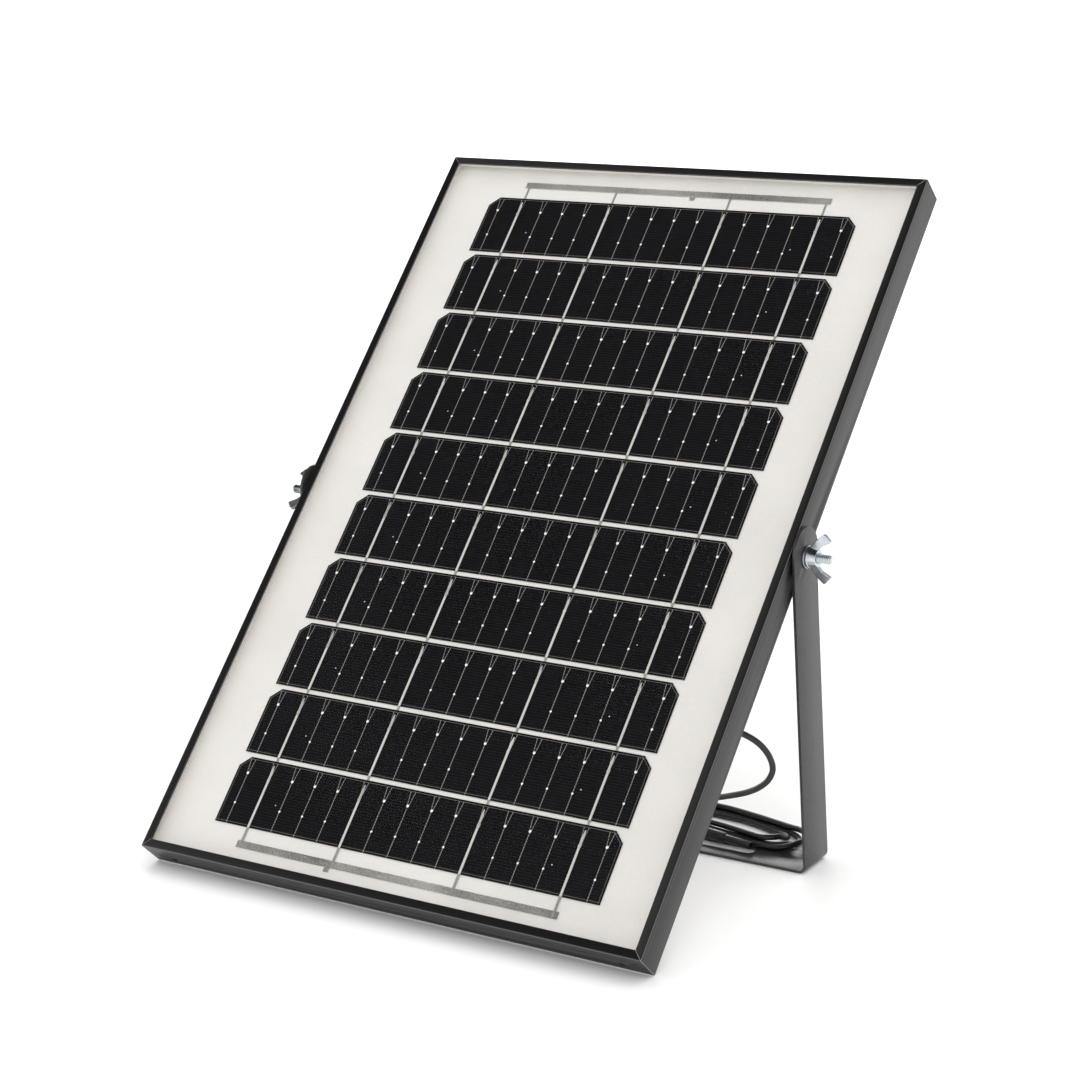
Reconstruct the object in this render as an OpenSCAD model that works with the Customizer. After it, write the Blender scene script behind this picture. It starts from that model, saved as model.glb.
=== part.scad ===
// Small framed solar panel on a U-shaped tilting bracket, with its supply lead.
// Millimetres. +Z up, the panel faces -Y and leans back, origin on the floor
// under the middle of the object.

/* [Panel] */
// Width over the frame
panel_w = 235; // [195:1:300]
// Length over the frame, along the slope
panel_h = 352; // [300:1:430]
// Depth of the frame
frame_t = 14; // [13:0.5:20]
// Angle of the glass above the horizontal as the part stands
panel_tilt = 45.5; // [35:0.5:60]

/* [Frame section] */
// Width of the front lip over the glass
lip_w = 3.6; // [3:0.1:6]
// Thickness of the front lip
lip_t = 1.0; // [0.8:0.1:1.5]
// Thickness of the outer wall
wall_t = 1.2; // [1:0.1:2]
// Width of the hollow rail behind the glass, walls included
rail_w = 6.8; // [6.6:0.1:10]
// Thickness of the rail's inner wall
rail_in_t = 1.0; // [0.7:0.1:1.5]
// Thickness of the shelf that the glass sits on
shelf_t = 0.75; // [0.6:0.05:1.2]
// Bevel along the outer front edge
edge_bevel = 0.4; // [0.2:0.1:0.8]
// Length of each leg of a corner key
key_leg = 24; // [15:1:40]
// Diameter of the crimp dimples that lock the corner keys
dimple_d = 2.6; // [1.5:0.1:4]

/* [Laminate] */
// Thickness of the glass
glass_t = 2.6; // [2:0.1:3.2]
// Thickness of each encapsulant sheet
encap_t = 0.2; // [0.15:0.05:0.4]
// Thickness of a cell
cell_t = 0.2; // [0.15:0.05:0.3]
// Thickness of the tinned ribbons
ribbon_t = 0.15; // [0.1:0.05:0.2]
// Width of the tinned ribbons
ribbon_w = 1.0; // [0.6:0.1:2]
// Thickness of the backsheet
backsheet_t = 0.2; // [0.15:0.05:0.4]
// Width of a cell strip
cell_w = 182; // [150:1:190]
// Height of a cell strip
cell_h = 29.8; // [24:0.1:30.5]
// Gap between cell strips
cell_gap = 1.9; // [1:0.1:2.5]
// Corner cut on a cell strip's upper corners
cell_cut = 4.4; // [2:0.1:8]
// Width of the bus ribbons above and below the cells
bus_w = 3.0; // [2:0.1:5]

/* [Bracket] */
// Width of the flat bar
bar_w = 20; // [16:1:30]
// Thickness of the flat bar
bar_t = 1.1; // [1:0.1:2]
// Inside radius of the two bends
bend_r = 2.2; // [1.5:0.1:5]
// Lean of each arm towards the panel
arm_lean = 2.2; // [0:0.1:3]
// Bar beyond the pivot hole, to the rounded tip
arm_tip = 12; // [11:0.5:18]
// Width of the two fixing slots
slot_w = 6.5; // [4:0.5:9]
// Length of the two fixing slots
slot_l = 66; // [12:1:70]
// Distance between the slots' centres
slot_pitch = 126; // [100:1:140]

/* [Pivot] */
// Height of the pivot above the panel's lower edge, along the slope
pivot_u = 176; // [150:1:200]
// Diameter of the pivot bolts
bolt_d = 4; // [3:0.5:4]
// Length of a pivot bolt under its head
bolt_len = 14; // [13:0.5:18]
// Width across the flats of the bolt head
head_af = 7; // [6:0.1:7]
// Height of the bolt head
head_h = 2.8; // [2:0.1:3]
// Thickness of the washers
washer_t = 0.8; // [0.5:0.1:1.2]
// Outer diameter of the friction washers between frame and arm
friction_d = 18; // [12:1:19]
// Height of a wing nut to the wing tips
wing_h = 9.8; // [8:0.1:12]
// Height of a wing nut's hub
hub_h = 4.4; // [3.5:0.1:6]
// Span over a wing nut's wings
wing_span = 20; // [16:0.5:26]

/* [Junction box] */
// Width of the box
jb_w = 58; // [50:1:80]
// Height of the box along the slope
jb_h = 44; // [38:1:60]
// Depth of the box without its lid
jb_d = 14; // [12:1:20]
// Wall of the box
jb_wall = 2.2; // [1.5:0.1:3]
// Thickness of the lid
lid_t = 2.2; // [1.8:0.1:3]
// Middle of the box above the panel's lower edge
jb_u = 95; // [80:1:110]

/* [Cord] */
// Diameter of the cord
cord_d = 2.5; // [2:0.1:3]
// Length of the straight runs of the coiled cord
run_l = 185; // [120:5:190]
// Radius of the inner turn of the coiled cord
turn_r = 8.7; // [7.5:0.1:12]

/* [Hidden] */
$fn = 64;
face_gap = 0.05;          // between faces that turn on each other
hole_gap = 0.1;           // around the bolts, in the holes they pass through
run_gap = 0.05;           // around the bolts, in the wing nuts
fit_gap = 0.1;            // around the corner keys, in the rails
lap = 0.02;               // by which the stretches of the bent bar run into each other
seal_t = 0.3;             // sealant in front of and behind the laminate
edge_seal = 0.8;          // sealant around the laminate's edge
cells = 10;
lean = 90 - panel_tilt;   // of the panel, back from the vertical

// Depths behind the front face, layer by layer
glass_d = lip_t + seal_t;
encap_f_d = glass_d + glass_t;
ribbon_f_d = encap_f_d + encap_t;
cell_d = ribbon_f_d + ribbon_t;
ribbon_b_d = cell_d + cell_t;
encap_b_d = ribbon_b_d + ribbon_t;
lead_d = encap_b_d + encap_t;
backsheet_d = lead_d + ribbon_t;
lam_end_d = backsheet_d + backsheet_t;
shelf_d = lam_end_d + seal_t;
hollow_d = shelf_d + shelf_t;
hollow_t = head_af + 2 * face_gap;
rail_back_d = hollow_d + hollow_t;
pivot_d = hollow_d + hollow_t / 2;

lam_w = panel_w - 2 * (wall_t + edge_seal);
lam_h = panel_h - 2 * (wall_t + edge_seal);
lam_u = wall_t + edge_seal;

// Cell strips, number 1 at the top
pitch = cell_h + cell_gap;
array_h = (cells - 1) * pitch + cell_h;
array_u = (panel_h - array_h) / 2;
function strip_u(n) = array_u + (cells - n) * pitch;
busbars = 16;
tab_bars = [2, 6, 11, 15];
function bar_x(b) = (b - (busbars + 1) / 2) * cell_w / busbars;
bus_off = min(8, (array_u - lip_w) / 2);  // from the cells to a bus ribbon's middle
bus_top_u = array_u + array_h + bus_off;
bus_low_u = array_u - bus_off;
ribbon_under = 12;                        // of a ribbon, under the next strip
bus_end = 2;                              // of a bus ribbon, past its last ribbon
lead_w = 4;                               // of the flat leads to the junction box
lead_x = 12;                              // of those leads, from the middle

// Where the panel stands in the room
lift_y = (frame_t * cos(lean) - panel_h * sin(lean)) / 2;
function room_y(u, d) = u * sin(lean) + (d - frame_t) * cos(lean) + lift_y;
function room_z(u, d) = u * cos(lean) + (frame_t - d) * sin(lean);
pivot_y = room_y(pivot_u, pivot_d);
pivot_z = room_z(pivot_u, pivot_d);

// Pivot stack, outwards from the middle
head_x = panel_w / 2 - wall_t;
friction_x = panel_w / 2 + face_gap;
arm_in_x = friction_x + washer_t + face_gap;
arm_x = arm_in_x + bar_t;
wing_washer_x = arm_x + face_gap;
nut_x = wing_washer_x + washer_t + face_gap;
nut_turn_left = -41;      // how far round the left wing nut stands
hub_r = bolt_d;
wing_t = 1.6;

// Bracket
bend_out = bend_r + bar_t;
knee_z = pivot_z - arm_tip - 2;
arm_run = (knee_z - bend_out * (1 + sin(arm_lean))) / cos(arm_lean);
bend_x = arm_x - bend_out * cos(arm_lean) + arm_run * sin(arm_lean);

// Junction box
jb_floor = 1.6;
jb_boss = 6.5;
gasket_t = 0.8;
gasket_w = 1.4;
jb_lid_d = lam_end_d + jb_d + gasket_t;
screw_d = 2.2;
screw_l = 8;
screw_head_d = 4.4;
screw_head_h = 1.4;
boot_l = 12;
boot_r = 3.2;
boot_d = lam_end_d + jb_d / 2;
term_w = 8;
term_h = 14;
term_t = 4;
term_d = lam_end_d + jb_floor;

// Coiled cord, lying on the floor behind the bracket
cord_r = cord_d / 2;
coil_z = 0.6;
coil_layers = 2;
coil_right = 101;         // middle of the right-hand turns
coil_out = turn_r + cord_d + cord_r;
coil_in = turn_r - cord_r;
coil_y = 25.5;
tie_x = -79;
tie_w = 6;
tie_t = 0.4;
tie_gap = 0.1;

// Lead from the junction box down to the coil
cord_exit = [jb_w / 2 + boot_l, room_y(jb_u, boot_d), room_z(jb_u, boot_d)];
lead_route = [
    cord_exit, cord_exit + [6, 0, 0], [60, -50, 68], [72, -45, 67], [84, -38, 65],
    [95, -31, 62], [104, -25, 58], [110, -21, 54], [113, -18, 50], [113, -15, 45],
    [110, -13, 40], [105, -11, 36], [98, -8, 32], [90, -5, 29], [81, -1, 25],
    [71, 3, 20], [61, 7.5, 15.5], [51, 10.7, 11.5], [41, 13, 8.8], [31, 14, 7.4],
    [21, 14.3, 6.2], [12, 14.3, 5],
];
// Tail off the coil's rear run, over its front run and along the bracket to the plug
tail_route = [
    [-72, 34, 5], [-60, 31.5, 6.3], [-48, 26.5, 6.9], [-36, 21.5, 6.9], [-24, 16.5, 6.9],
    [-12, 12.6, 6.6], [0, 10.4, 5.4], [14, 9.8, 3.4], [28, 9.5, 2.6], [42, 9.2, 2.9],
    [48, 9.1, 3.3], [54, 9, 3.5],
];
plug_from = [54, 9, 3.5];
plug_tip = [94.6, 1.2, 3.4];
plug_boot_l = 8;
plug_body_l = 20;
plug_body_r = 2.2;
plug_nose_r = 1.6;
pin_r = 0.5;

// ---------- placing ----------

// Stands what is drawn upright (front face at y = 0, lower edge at z = 0) in its lean
module in_panel()
    translate([0, lift_y, 0]) rotate([-lean, 0, 0]) translate([0, -frame_t, 0]) children();

// A box in the upright panel's frame: middle x, lower edge u, front depth d, and its size
module slab(x, u, d, w, h, t)
    translate([x - w / 2, d, u]) cube([w, t, h]);

module mirror_left(side)
    if (side < 0) mirror([1, 0, 0]) children();
    else children();

// A rod between two points
module rod(from, to, r1, r2) {
    v = to - from;
    len = norm(v);
    translate(from)
        rotate([0, acos(v[2] / len), atan2(v[1], v[0])])
            cylinder(h = len, r1 = r1, r2 = r2);
}

// ---------- frame ----------

// Cross-section of a frame member, x = depth, y = inwards from the outer face
module frame_section() difference() {
    union() {
        square([frame_t, wall_t]);
        square([lip_t, lip_w]);
        translate([shelf_d, 0]) square([frame_t - shelf_d, rail_w]);
    }
    translate([hollow_d, wall_t]) square([hollow_t, rail_w - wall_t - rail_in_t]);
    polygon([[-1, -1], [edge_bevel + 1, -1], [-1, edge_bevel + 1]]);
}

module frame_bar(len)
    rotate([90, 0, 90]) linear_extrude(len) frame_section();

// A prism through the whole depth, cut to an outline in x and u
module through_depth(points)
    translate([0, frame_t + 1, 0]) rotate([90, 0, 0])
        linear_extrude(frame_t + 2) polygon(points);

module dimple(x)
    translate([x, pivot_d, -1]) cylinder(h = 1 + wall_t / 2, d = dimple_d);

// Lower member; the upper one is its mirror image
module cross_member() difference() {
    intersection() {
        translate([-panel_w / 2, 0, 0]) frame_bar(panel_w);
        through_depth([
            [-panel_w / 2, 0], [panel_w / 2, 0],
            [panel_w / 2 - rail_w, rail_w], [rail_w - panel_w / 2, rail_w],
        ]);
    }
    for (s = [-1, 1]) dimple(s * (panel_w / 2 - key_leg / 2));
}

module frame_bottom() color("#1c1c1d") in_panel() cross_member();

module frame_top() color("#1c1c1d") in_panel()
    translate([0, 0, panel_h]) mirror([0, 0, 1]) cross_member();

module side_member() difference() {
    intersection() {
        translate([panel_w / 2, 0, 0]) rotate([0, -90, 0]) frame_bar(panel_h);
        through_depth([
            [panel_w / 2, 0], [panel_w / 2, panel_h],
            [panel_w / 2 - rail_w, panel_h - rail_w], [panel_w / 2 - rail_w, rail_w],
        ]);
    }
    translate([head_x - face_gap, pivot_d, pivot_u]) rotate([0, 90, 0])
        cylinder(h = wall_t + 1, d = bolt_d + 2 * hole_gap);
}

module frame_right() color("#1c1c1d") in_panel() side_member();
module frame_left() color("#1c1c1d") in_panel() mirror([1, 0, 0]) side_member();

// One corner key: two legs in the hollows of the rails that meet
module corner_key() {
    t = rail_w - wall_t - rail_in_t - 2 * fit_gap;
    d = hollow_t - 2 * fit_gap;
    at = wall_t + fit_gap;
    translate([panel_w / 2 - at - key_leg, hollow_d + fit_gap, at]) cube([key_leg, d, t]);
    translate([panel_w / 2 - at - t, hollow_d + fit_gap, at]) cube([t, d, key_leg]);
}

module corner_keys() color("#b9bcc0") in_panel()
    for (m = [0, 1], k = [0, 1])
        translate([0, 0, k * panel_h]) mirror([0, 0, k]) mirror([m, 0, 0]) corner_key();

// ---------- laminate ----------

module edge_sealant() color("#d8d6d0") in_panel() difference() {
    slab(0, wall_t, lip_t, panel_w - 2 * wall_t, panel_h - 2 * wall_t, shelf_d - lip_t);
    slab(0, lam_u, glass_d, lam_w, lam_h, lam_end_d - glass_d);
    slab(0, lip_w, 0, panel_w - 2 * lip_w, panel_h - 2 * lip_w, frame_t);
}

module solar_glass() color("#dfe9ea", 0.35) in_panel()
    slab(0, lam_u, glass_d, lam_w, lam_h, glass_t);

module front_encapsulant() color("#f2f2f0", 0.4) in_panel()
    slab(0, lam_u, encap_f_d, lam_w, lam_h, encap_t);

module cell_strip(n) color("#17171a") in_panel()
    translate([0, cell_d + cell_t, strip_u(n)]) rotate([90, 0, 0]) linear_extrude(cell_t)
        polygon([
            [-cell_w / 2, 0], [cell_w / 2, 0], [cell_w / 2, cell_h - cell_cut],
            [cell_w / 2 - cell_cut, cell_h], [cell_cut - cell_w / 2, cell_h],
            [-cell_w / 2, cell_h - cell_cut],
        ]);

// Outline in x = u and y = depth, drawn w wide about x
module ribbon(x, w, points)
    translate([x - w / 2, 0, 0]) rotate([90, 0, 90]) linear_extrude(w)
        polygon([for (p = points) [p[1], p[0]]]);

// On the front of strip n, down through the gap, and under the next strip
module tab_ribbon(x, n) {
    low = strip_u(n);
    next = low - cell_gap;
    ribbon(x, ribbon_w, [
        [low + cell_h - cell_cut, ribbon_f_d], [low, ribbon_f_d],
        [next, ribbon_b_d], [next - ribbon_under, ribbon_b_d],
        [next - ribbon_under, encap_b_d], [next, encap_b_d],
        [low, cell_d], [low + cell_h - cell_cut, cell_d],
    ]);
}

module cell_ribbons() color("#c9ccd0") in_panel()
    for (b = tab_bars) {
        for (n = [1 : cells - 1]) tab_ribbon(bar_x(b), n);
        slab(bar_x(b), bus_low_u - bus_w / 2, ribbon_f_d,
            ribbon_w, strip_u(cells) + cell_h - cell_cut - bus_low_u + bus_w / 2, ribbon_t);
        slab(bar_x(b), strip_u(1) + cell_h - ribbon_under, ribbon_b_d,
            ribbon_w, bus_top_u + bus_w / 2 - strip_u(1) - cell_h + ribbon_under, ribbon_t);
    }

module bus_ribbon(u)
    slab(0, u - bus_w / 2, cell_d, bar_x(15) - bar_x(2) + 2 * bus_end, bus_w, cell_t);

module top_bus_ribbon() color("#9b9a97") in_panel() bus_ribbon(bus_top_u);
module bottom_bus_ribbon() color("#9b9a97") in_panel() bus_ribbon(bus_low_u);

// Flat lead from a bus ribbon, through the encapsulant, along the back and into the box
module string_lead(x, bus_u, box_u) {
    slab(x, bus_u - ribbon_t / 2, ribbon_b_d, lead_w, ribbon_t, lead_d - ribbon_b_d);
    low = min(bus_u, box_u);
    slab(x, low - ribbon_t / 2, lead_d, lead_w, abs(box_u - bus_u) + ribbon_t, ribbon_t);
    slab(x, box_u - ribbon_t / 2, lead_d, lead_w, ribbon_t, term_d - lead_d);
}

module string_leads() color("#b4b6b8") in_panel() {
    string_lead(-lead_x, bus_top_u, jb_u + term_h / 4);
    string_lead(lead_x, bus_low_u, jb_u - term_h / 4);
}

// Slits that the leads pass through, in one sheet of the laminate
module lead_slits(us, d, t)
    for (s = [0, 1])
        slab((2 * s - 1) * lead_x, us[s] - ribbon_t, d - 1,
            lead_w + 2 * fit_gap, 2 * ribbon_t, t + 2);

module back_encapsulant() color("#efefec") in_panel() difference() {
    slab(0, lam_u, encap_b_d, lam_w, lam_h, encap_t);
    lead_slits([bus_top_u, bus_low_u], encap_b_d, encap_t);
}

module backsheet() color("#edeae6") in_panel() difference() {
    slab(0, lam_u, backsheet_d, lam_w, lam_h, backsheet_t);
    lead_slits([jb_u + term_h / 4, jb_u - term_h / 4], backsheet_d, backsheet_t);
}

// ---------- junction box ----------

module jb_corners()
    for (x = [-1, 1], u = [-1, 1])
        translate([x * (jb_w - jb_boss) / 2, 0, jb_u + u * (jb_h - jb_boss) / 2]) children();

module jb_slab(inset, d, t)
    slab(0, jb_u - jb_h / 2 + inset, d, jb_w - 2 * inset, jb_h - 2 * inset, t);

module along_depth(d, r, t)
    translate([0, d, 0]) rotate([-90, 0, 0]) cylinder(h = t, r = r);

module junction_box() color("#202021") in_panel() difference() {
    union() {
        difference() {
            jb_slab(0, lam_end_d, jb_d);
            jb_slab(jb_wall, lam_end_d + jb_floor, jb_d);
        }
        jb_corners() slab(0, -jb_boss / 2, lam_end_d, jb_boss, jb_boss, jb_d);
    }
    jb_corners() along_depth(lam_end_d + jb_d - screw_l, screw_d / 2, screw_l + 1);
    translate([jb_w / 2 - jb_wall - 1, boot_d, jb_u]) rotate([0, 90, 0])
        cylinder(h = jb_wall + 2, r = boot_r - 1);
    lead_slits([jb_u + term_h / 4, jb_u - term_h / 4], lam_end_d, jb_floor - 1);
}

module lid_gasket() color("#4a4a48") in_panel() difference() {
    jb_slab(0.4, lam_end_d + jb_d, gasket_t);
    jb_slab(0.4 + gasket_w, lam_end_d + jb_d - 1, gasket_t + 2);
}

module junction_box_lid() color("#1d1d1e") in_panel() difference() {
    jb_slab(0, jb_lid_d, lid_t);
    jb_corners() along_depth(jb_lid_d - 1, screw_d / 2 + fit_gap, lid_t + 2);
    jb_corners() along_depth(jb_lid_d + lid_t - screw_head_h, screw_head_d / 2 + 0.2, screw_head_h + 1);
}

module lid_screws() color("#c8ccd0") in_panel() jb_corners() {
    shank = jb_lid_d + lid_t - screw_head_h;
    tip = lam_end_d + jb_d - screw_l + 1;
    difference() {
        along_depth(shank, screw_head_d / 2, screw_head_h);
        for (a = [0, 90]) translate([0, shank + screw_head_h, 0]) rotate([0, a, 0])
            cube([2.6, 1.2, 0.6], center = true);
    }
    along_depth(tip, screw_d / 2 - face_gap, shank - tip);
}

module terminals() color("#c9a552") in_panel()
    for (s = [-1, 1]) slab(s * lead_x, jb_u - term_h / 2, term_d, term_w, term_h, term_t);

diode_r = 1.35;
diode_d = term_d + term_t + diode_r;

module blocking_diode() color("#2a2a2c") in_panel()
    translate([0, diode_d, jb_u + 3]) rotate([0, 90, 0]) {
        cylinder(h = 5.2, r = diode_r, center = true);
        cylinder(h = 2 * lead_x, r = 0.4, center = true);
    }

// The cord's two cores, from the boot to the terminals
module core_wires() color("#a02020") in_panel()
    for (s = [-1, 1])
        rod([jb_w / 2 - jb_wall - 3, boot_d, jb_u - 5 * (s + 1) / 2 - 1],
            [s * lead_x + term_w / 2, boot_d, jb_u - 5 * (s + 1) / 2 - 1], 0.6, 0.6);

module cable_boot() color("#19191a") in_panel()
    translate([jb_w / 2, boot_d, jb_u]) rotate([0, 90, 0]) {
        cylinder(h = 2, r = boot_r);
        translate([0, 0, 2]) cylinder(h = boot_l - 2, r1 = boot_r - 0.4, r2 = cord_r + 0.4);
        translate([0, 0, -jb_wall]) cylinder(h = jb_wall, r = boot_r - 1 - face_gap);
        translate([0, 0, -jb_wall - 1.5]) cylinder(h = 1.5, r = boot_r);
    }

// ---------- bracket and pivot ----------

// Outline of the bent bar's right half, x = across, y = up
module bracket_half() {
    square([bend_x + lap, bar_t]);
    translate([bend_x, bend_out]) rotate(arm_lean) {
        intersection() {
            difference() {
                circle(bend_out);
                circle(bend_r);
            }
            rotate(-90 - arm_lean) polygon([
                [0, 0], [2 * bend_out, 0], [2 * bend_out, 2 * bend_out],
                [0, 2 * bend_out], [-2 * bend_out * sin(arm_lean), 2 * bend_out * cos(arm_lean)],
            ]);
        }
        translate([bend_r, -lap]) square([bar_t, arm_run + lap]);
    }
    translate([arm_in_x, knee_z - lap]) square([bar_t, pivot_z + arm_tip - knee_z + lap]);
}

module slot_cut(x) translate([x, pivot_y, -1]) linear_extrude(bar_t + 2) {
    square([slot_l - slot_w, slot_w], center = true);
    for (s = [-1, 1]) translate([s * (slot_l - slot_w) / 2, 0]) circle(d = slot_w);
}

module u_bracket() color("#47474a") {
    tip_z = pivot_z + arm_tip - bar_w / 2;
    difference() {
        intersection() {
            translate([0, pivot_y + bar_w / 2, 0]) rotate([90, 0, 0])
                linear_extrude(bar_w) {
                    bracket_half();
                    mirror([1, 0]) bracket_half();
                }
            union() {
                translate([-panel_w, pivot_y - bar_w, -1]) cube([2 * panel_w, 2 * bar_w, tip_z + 1]);
                translate([-panel_w, pivot_y, tip_z]) rotate([0, 90, 0])
                    cylinder(h = 2 * panel_w, d = bar_w);
            }
        }
        translate([-panel_w, pivot_y, pivot_z]) rotate([0, 90, 0])
            cylinder(h = 2 * panel_w, d = bolt_d + 2 * hole_gap);
        for (s = [-1, 1]) slot_cut(s * slot_pitch / 2);
    }
}

module pivot_bolt(side) color("#c8ccd2") in_panel() mirror_left(side)
    translate([head_x, pivot_d, pivot_u]) rotate([0, 90, 0]) {
        translate([0, 0, -head_h]) cylinder(h = head_h, d = head_af / cos(30), $fn = 6);
        cylinder(h = bolt_len - 0.6, d = bolt_d);
        translate([0, 0, bolt_len - 0.6]) cylinder(h = 0.6, d1 = bolt_d, d2 = bolt_d - 1.2);
    }

module washer(x, d) translate([x, pivot_y, pivot_z]) rotate([0, 90, 0]) difference() {
    cylinder(h = washer_t, d = d);
    translate([0, 0, -1]) cylinder(h = washer_t + 2, d = bolt_d + 2 * fit_gap);
}

module friction_washer(side) color("#151515") mirror_left(side) washer(friction_x, friction_d);
module wing_washer(side) color("#c8ccd2") mirror_left(side)
    washer(wing_washer_x, 2 * bolt_d + 1);

// One wing, in x = out from the bolt and y = along it
module wing_outline() {
    r = wing_span / 2;
    polygon([
        [bolt_d * 0.8, 0.8], [hub_r + 0.2, 1], [r * 0.72, 3.4], [r, wing_h - 3.1],
        [r * 0.97, wing_h - 2.2], [r * 0.76, wing_h - 0.2], [r * 0.7, wing_h],
        [r * 0.5, wing_h * 0.62], [bolt_d * 0.8, hub_h],
    ]);
}

module wing_nut(side, turn) color("#d4d9de") mirror_left(side)
    translate([nut_x, pivot_y, pivot_z]) rotate([turn, 0, 0]) rotate([0, 90, 0])
        difference() {
            union() {
                cylinder(h = 1, r = hub_r + 0.3);
                translate([0, 0, 1]) cylinder(h = hub_h - 1, r1 = hub_r + 0.1, r2 = hub_r - 0.6);
                for (s = [0, 180]) rotate([0, 0, s])
                    translate([0, wing_t / 2, 0]) rotate([90, 0, 0])
                        linear_extrude(wing_t) wing_outline();
            }
            translate([0, 0, -1]) cylinder(h = wing_h + 2, d = bolt_d + 2 * run_gap);
        }

// ---------- cord ----------

// Unit vector, and any vector square to another
function unit(v) = v / norm(v);
function tangent(p, i) =
    unit(p[min(i + 1, len(p) - 1)] - p[max(i - 1, 0)]);
function side_of(t) = unit(cross(t, abs(t[2]) > 0.9 ? [1, 0, 0] : [0, 0, 1]));

cord_sides = 8;

// A tube along a route, as one closed solid
module tube(route, r) {
    n = len(route);
    points = [
        for (i = [0 : n - 1])
            let (t = tangent(route, i), a = side_of(t), b = cross(t, a))
                for (k = [0 : cord_sides - 1])
                    let (w = 360 * k / cord_sides) route[i] + r * (a * cos(w) + b * sin(w))
    ];
    faces = concat(
        [[for (k = [0 : cord_sides - 1]) k]],
        [[for (k = [0 : cord_sides - 1]) n * cord_sides - 1 - k]],
        [
            for (i = [0 : n - 2], k = [0 : cord_sides - 1])
                let (m = (k + 1) % cord_sides, at = i * cord_sides, up = at + cord_sides)
                    [at + k, up + k, up + m, at + m]
        ]
    );
    polyhedron(points, faces, convexity = 6);
}

module cord_lead() color("#161616") tube(lead_route, cord_r);
module cord_tail() color("#161616") tube(tail_route, cord_r);

module stadium(r) {
    translate([coil_right - run_l, coil_y - r]) square([run_l, 2 * r]);
    translate([coil_right, coil_y]) circle(r);
    translate([coil_right - run_l, coil_y]) circle(r);
}

module cord_coil() color("#161616") translate([0, 0, coil_z])
    linear_extrude(coil_layers * cord_d) difference() {
        stadium(coil_out);
        stadium(coil_in);
    }

// A flat strap round the middle of the coil
module cord_tie() color("#0e0e0e") {
    h = coil_layers * cord_d + 2 * tie_gap;
    w = 2 * (coil_out + tie_gap);
    translate([tie_x, coil_y, coil_z - tie_gap + h / 2]) difference() {
        cube([tie_w, w + 2 * tie_t, h + 2 * tie_t], center = true);
        cube([tie_w + 2, w, h], center = true);
    }
}

plug_way = unit(plug_tip - plug_from);
plug_l = norm(plug_tip - plug_from);
function on_plug(s) = plug_from + s * plug_way;

module plug_boot() color("#161616")
    rod(plug_from, on_plug(plug_boot_l), cord_r + 0.2, plug_body_r - 0.4);

module plug_body() color("#161616")
    rod(on_plug(plug_boot_l), on_plug(plug_boot_l + plug_body_l), plug_body_r, plug_body_r);

module plug_socket() color("#161616") difference() {
    rod(on_plug(plug_boot_l + plug_body_l), plug_tip, plug_nose_r, plug_nose_r);
    rod(on_plug(plug_l - 7), on_plug(plug_l + 1), pin_r + 0.3, pin_r + 0.3);
}

// ---------- nodes ----------

frame_top();
frame_bottom();
frame_left();
frame_right();
corner_keys();
edge_sealant();
solar_glass();
front_encapsulant();
cell_strip(1);  // cell_01
cell_strip(2);  // cell_02
cell_strip(3);  // cell_03
cell_strip(4);  // cell_04
cell_strip(5);  // cell_05
cell_strip(6);  // cell_06
cell_strip(7);  // cell_07
cell_strip(8);  // cell_08
cell_strip(9);  // cell_09
cell_strip(10);  // cell_10
cell_ribbons();
top_bus_ribbon();
bottom_bus_ribbon();
string_leads();
back_encapsulant();
backsheet();
junction_box();
lid_gasket();
junction_box_lid();
lid_screws();
terminals();
blocking_diode();
core_wires();
cable_boot();
u_bracket();
pivot_bolt(-1);  // pivot_bolt_left
pivot_bolt(1);  // pivot_bolt_right
friction_washer(-1);  // friction_washer_left
friction_washer(1);  // friction_washer_right
wing_washer(-1);  // wing_washer_left
wing_washer(1);  // wing_washer_right
wing_nut(-1, nut_turn_left);  // wing_nut_left
wing_nut(1, 0);  // wing_nut_right
cord_lead();
cord_coil();
cord_tail();
cord_tie();
plug_boot();
plug_body();
plug_socket();
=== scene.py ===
"""Looks of a small framed solar panel that tilts on a U-shaped bracket, with its lead coiled behind it.

Metres, +Z up. The panel faces -Y and leans back; +X runs along the pivot axis.
"""

import logging
import math
from collections.abc import Iterator, Sequence
from contextlib import contextmanager
from dataclasses import dataclass, field
from enum import Enum
from functools import reduce

import bpy
from mathutils import Matrix, Vector, noise


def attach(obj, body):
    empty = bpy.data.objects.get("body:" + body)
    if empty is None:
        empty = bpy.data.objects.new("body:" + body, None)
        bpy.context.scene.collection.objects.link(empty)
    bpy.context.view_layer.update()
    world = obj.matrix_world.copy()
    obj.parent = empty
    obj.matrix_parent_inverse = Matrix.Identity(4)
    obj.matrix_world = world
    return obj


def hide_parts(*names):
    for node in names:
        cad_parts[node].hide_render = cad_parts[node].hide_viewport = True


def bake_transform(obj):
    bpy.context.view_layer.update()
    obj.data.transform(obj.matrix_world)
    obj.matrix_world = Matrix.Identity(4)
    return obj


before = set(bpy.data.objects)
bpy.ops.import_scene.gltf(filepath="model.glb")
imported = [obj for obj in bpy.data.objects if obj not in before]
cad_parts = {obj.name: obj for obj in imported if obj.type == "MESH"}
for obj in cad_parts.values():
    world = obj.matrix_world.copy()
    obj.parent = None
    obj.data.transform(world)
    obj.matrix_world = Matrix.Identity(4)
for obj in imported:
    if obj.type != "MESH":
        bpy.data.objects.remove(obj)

LOG = logging.getLogger("solar_panel")
MM = 0.001
Point = tuple[float, float, float]
Socket = bpy.types.NodeSocket


class Body(Enum):
    """The rigid bodies that pieces ride on."""

    STAND = "stand"
    PANEL = "panel"
    NUT_LEFT = "nut_left"
    NUT_RIGHT = "nut_right"


class Facing(Enum):
    """Which way a turned piece's axis points along the pivot."""

    LEFT = -1
    RIGHT = 1


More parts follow.
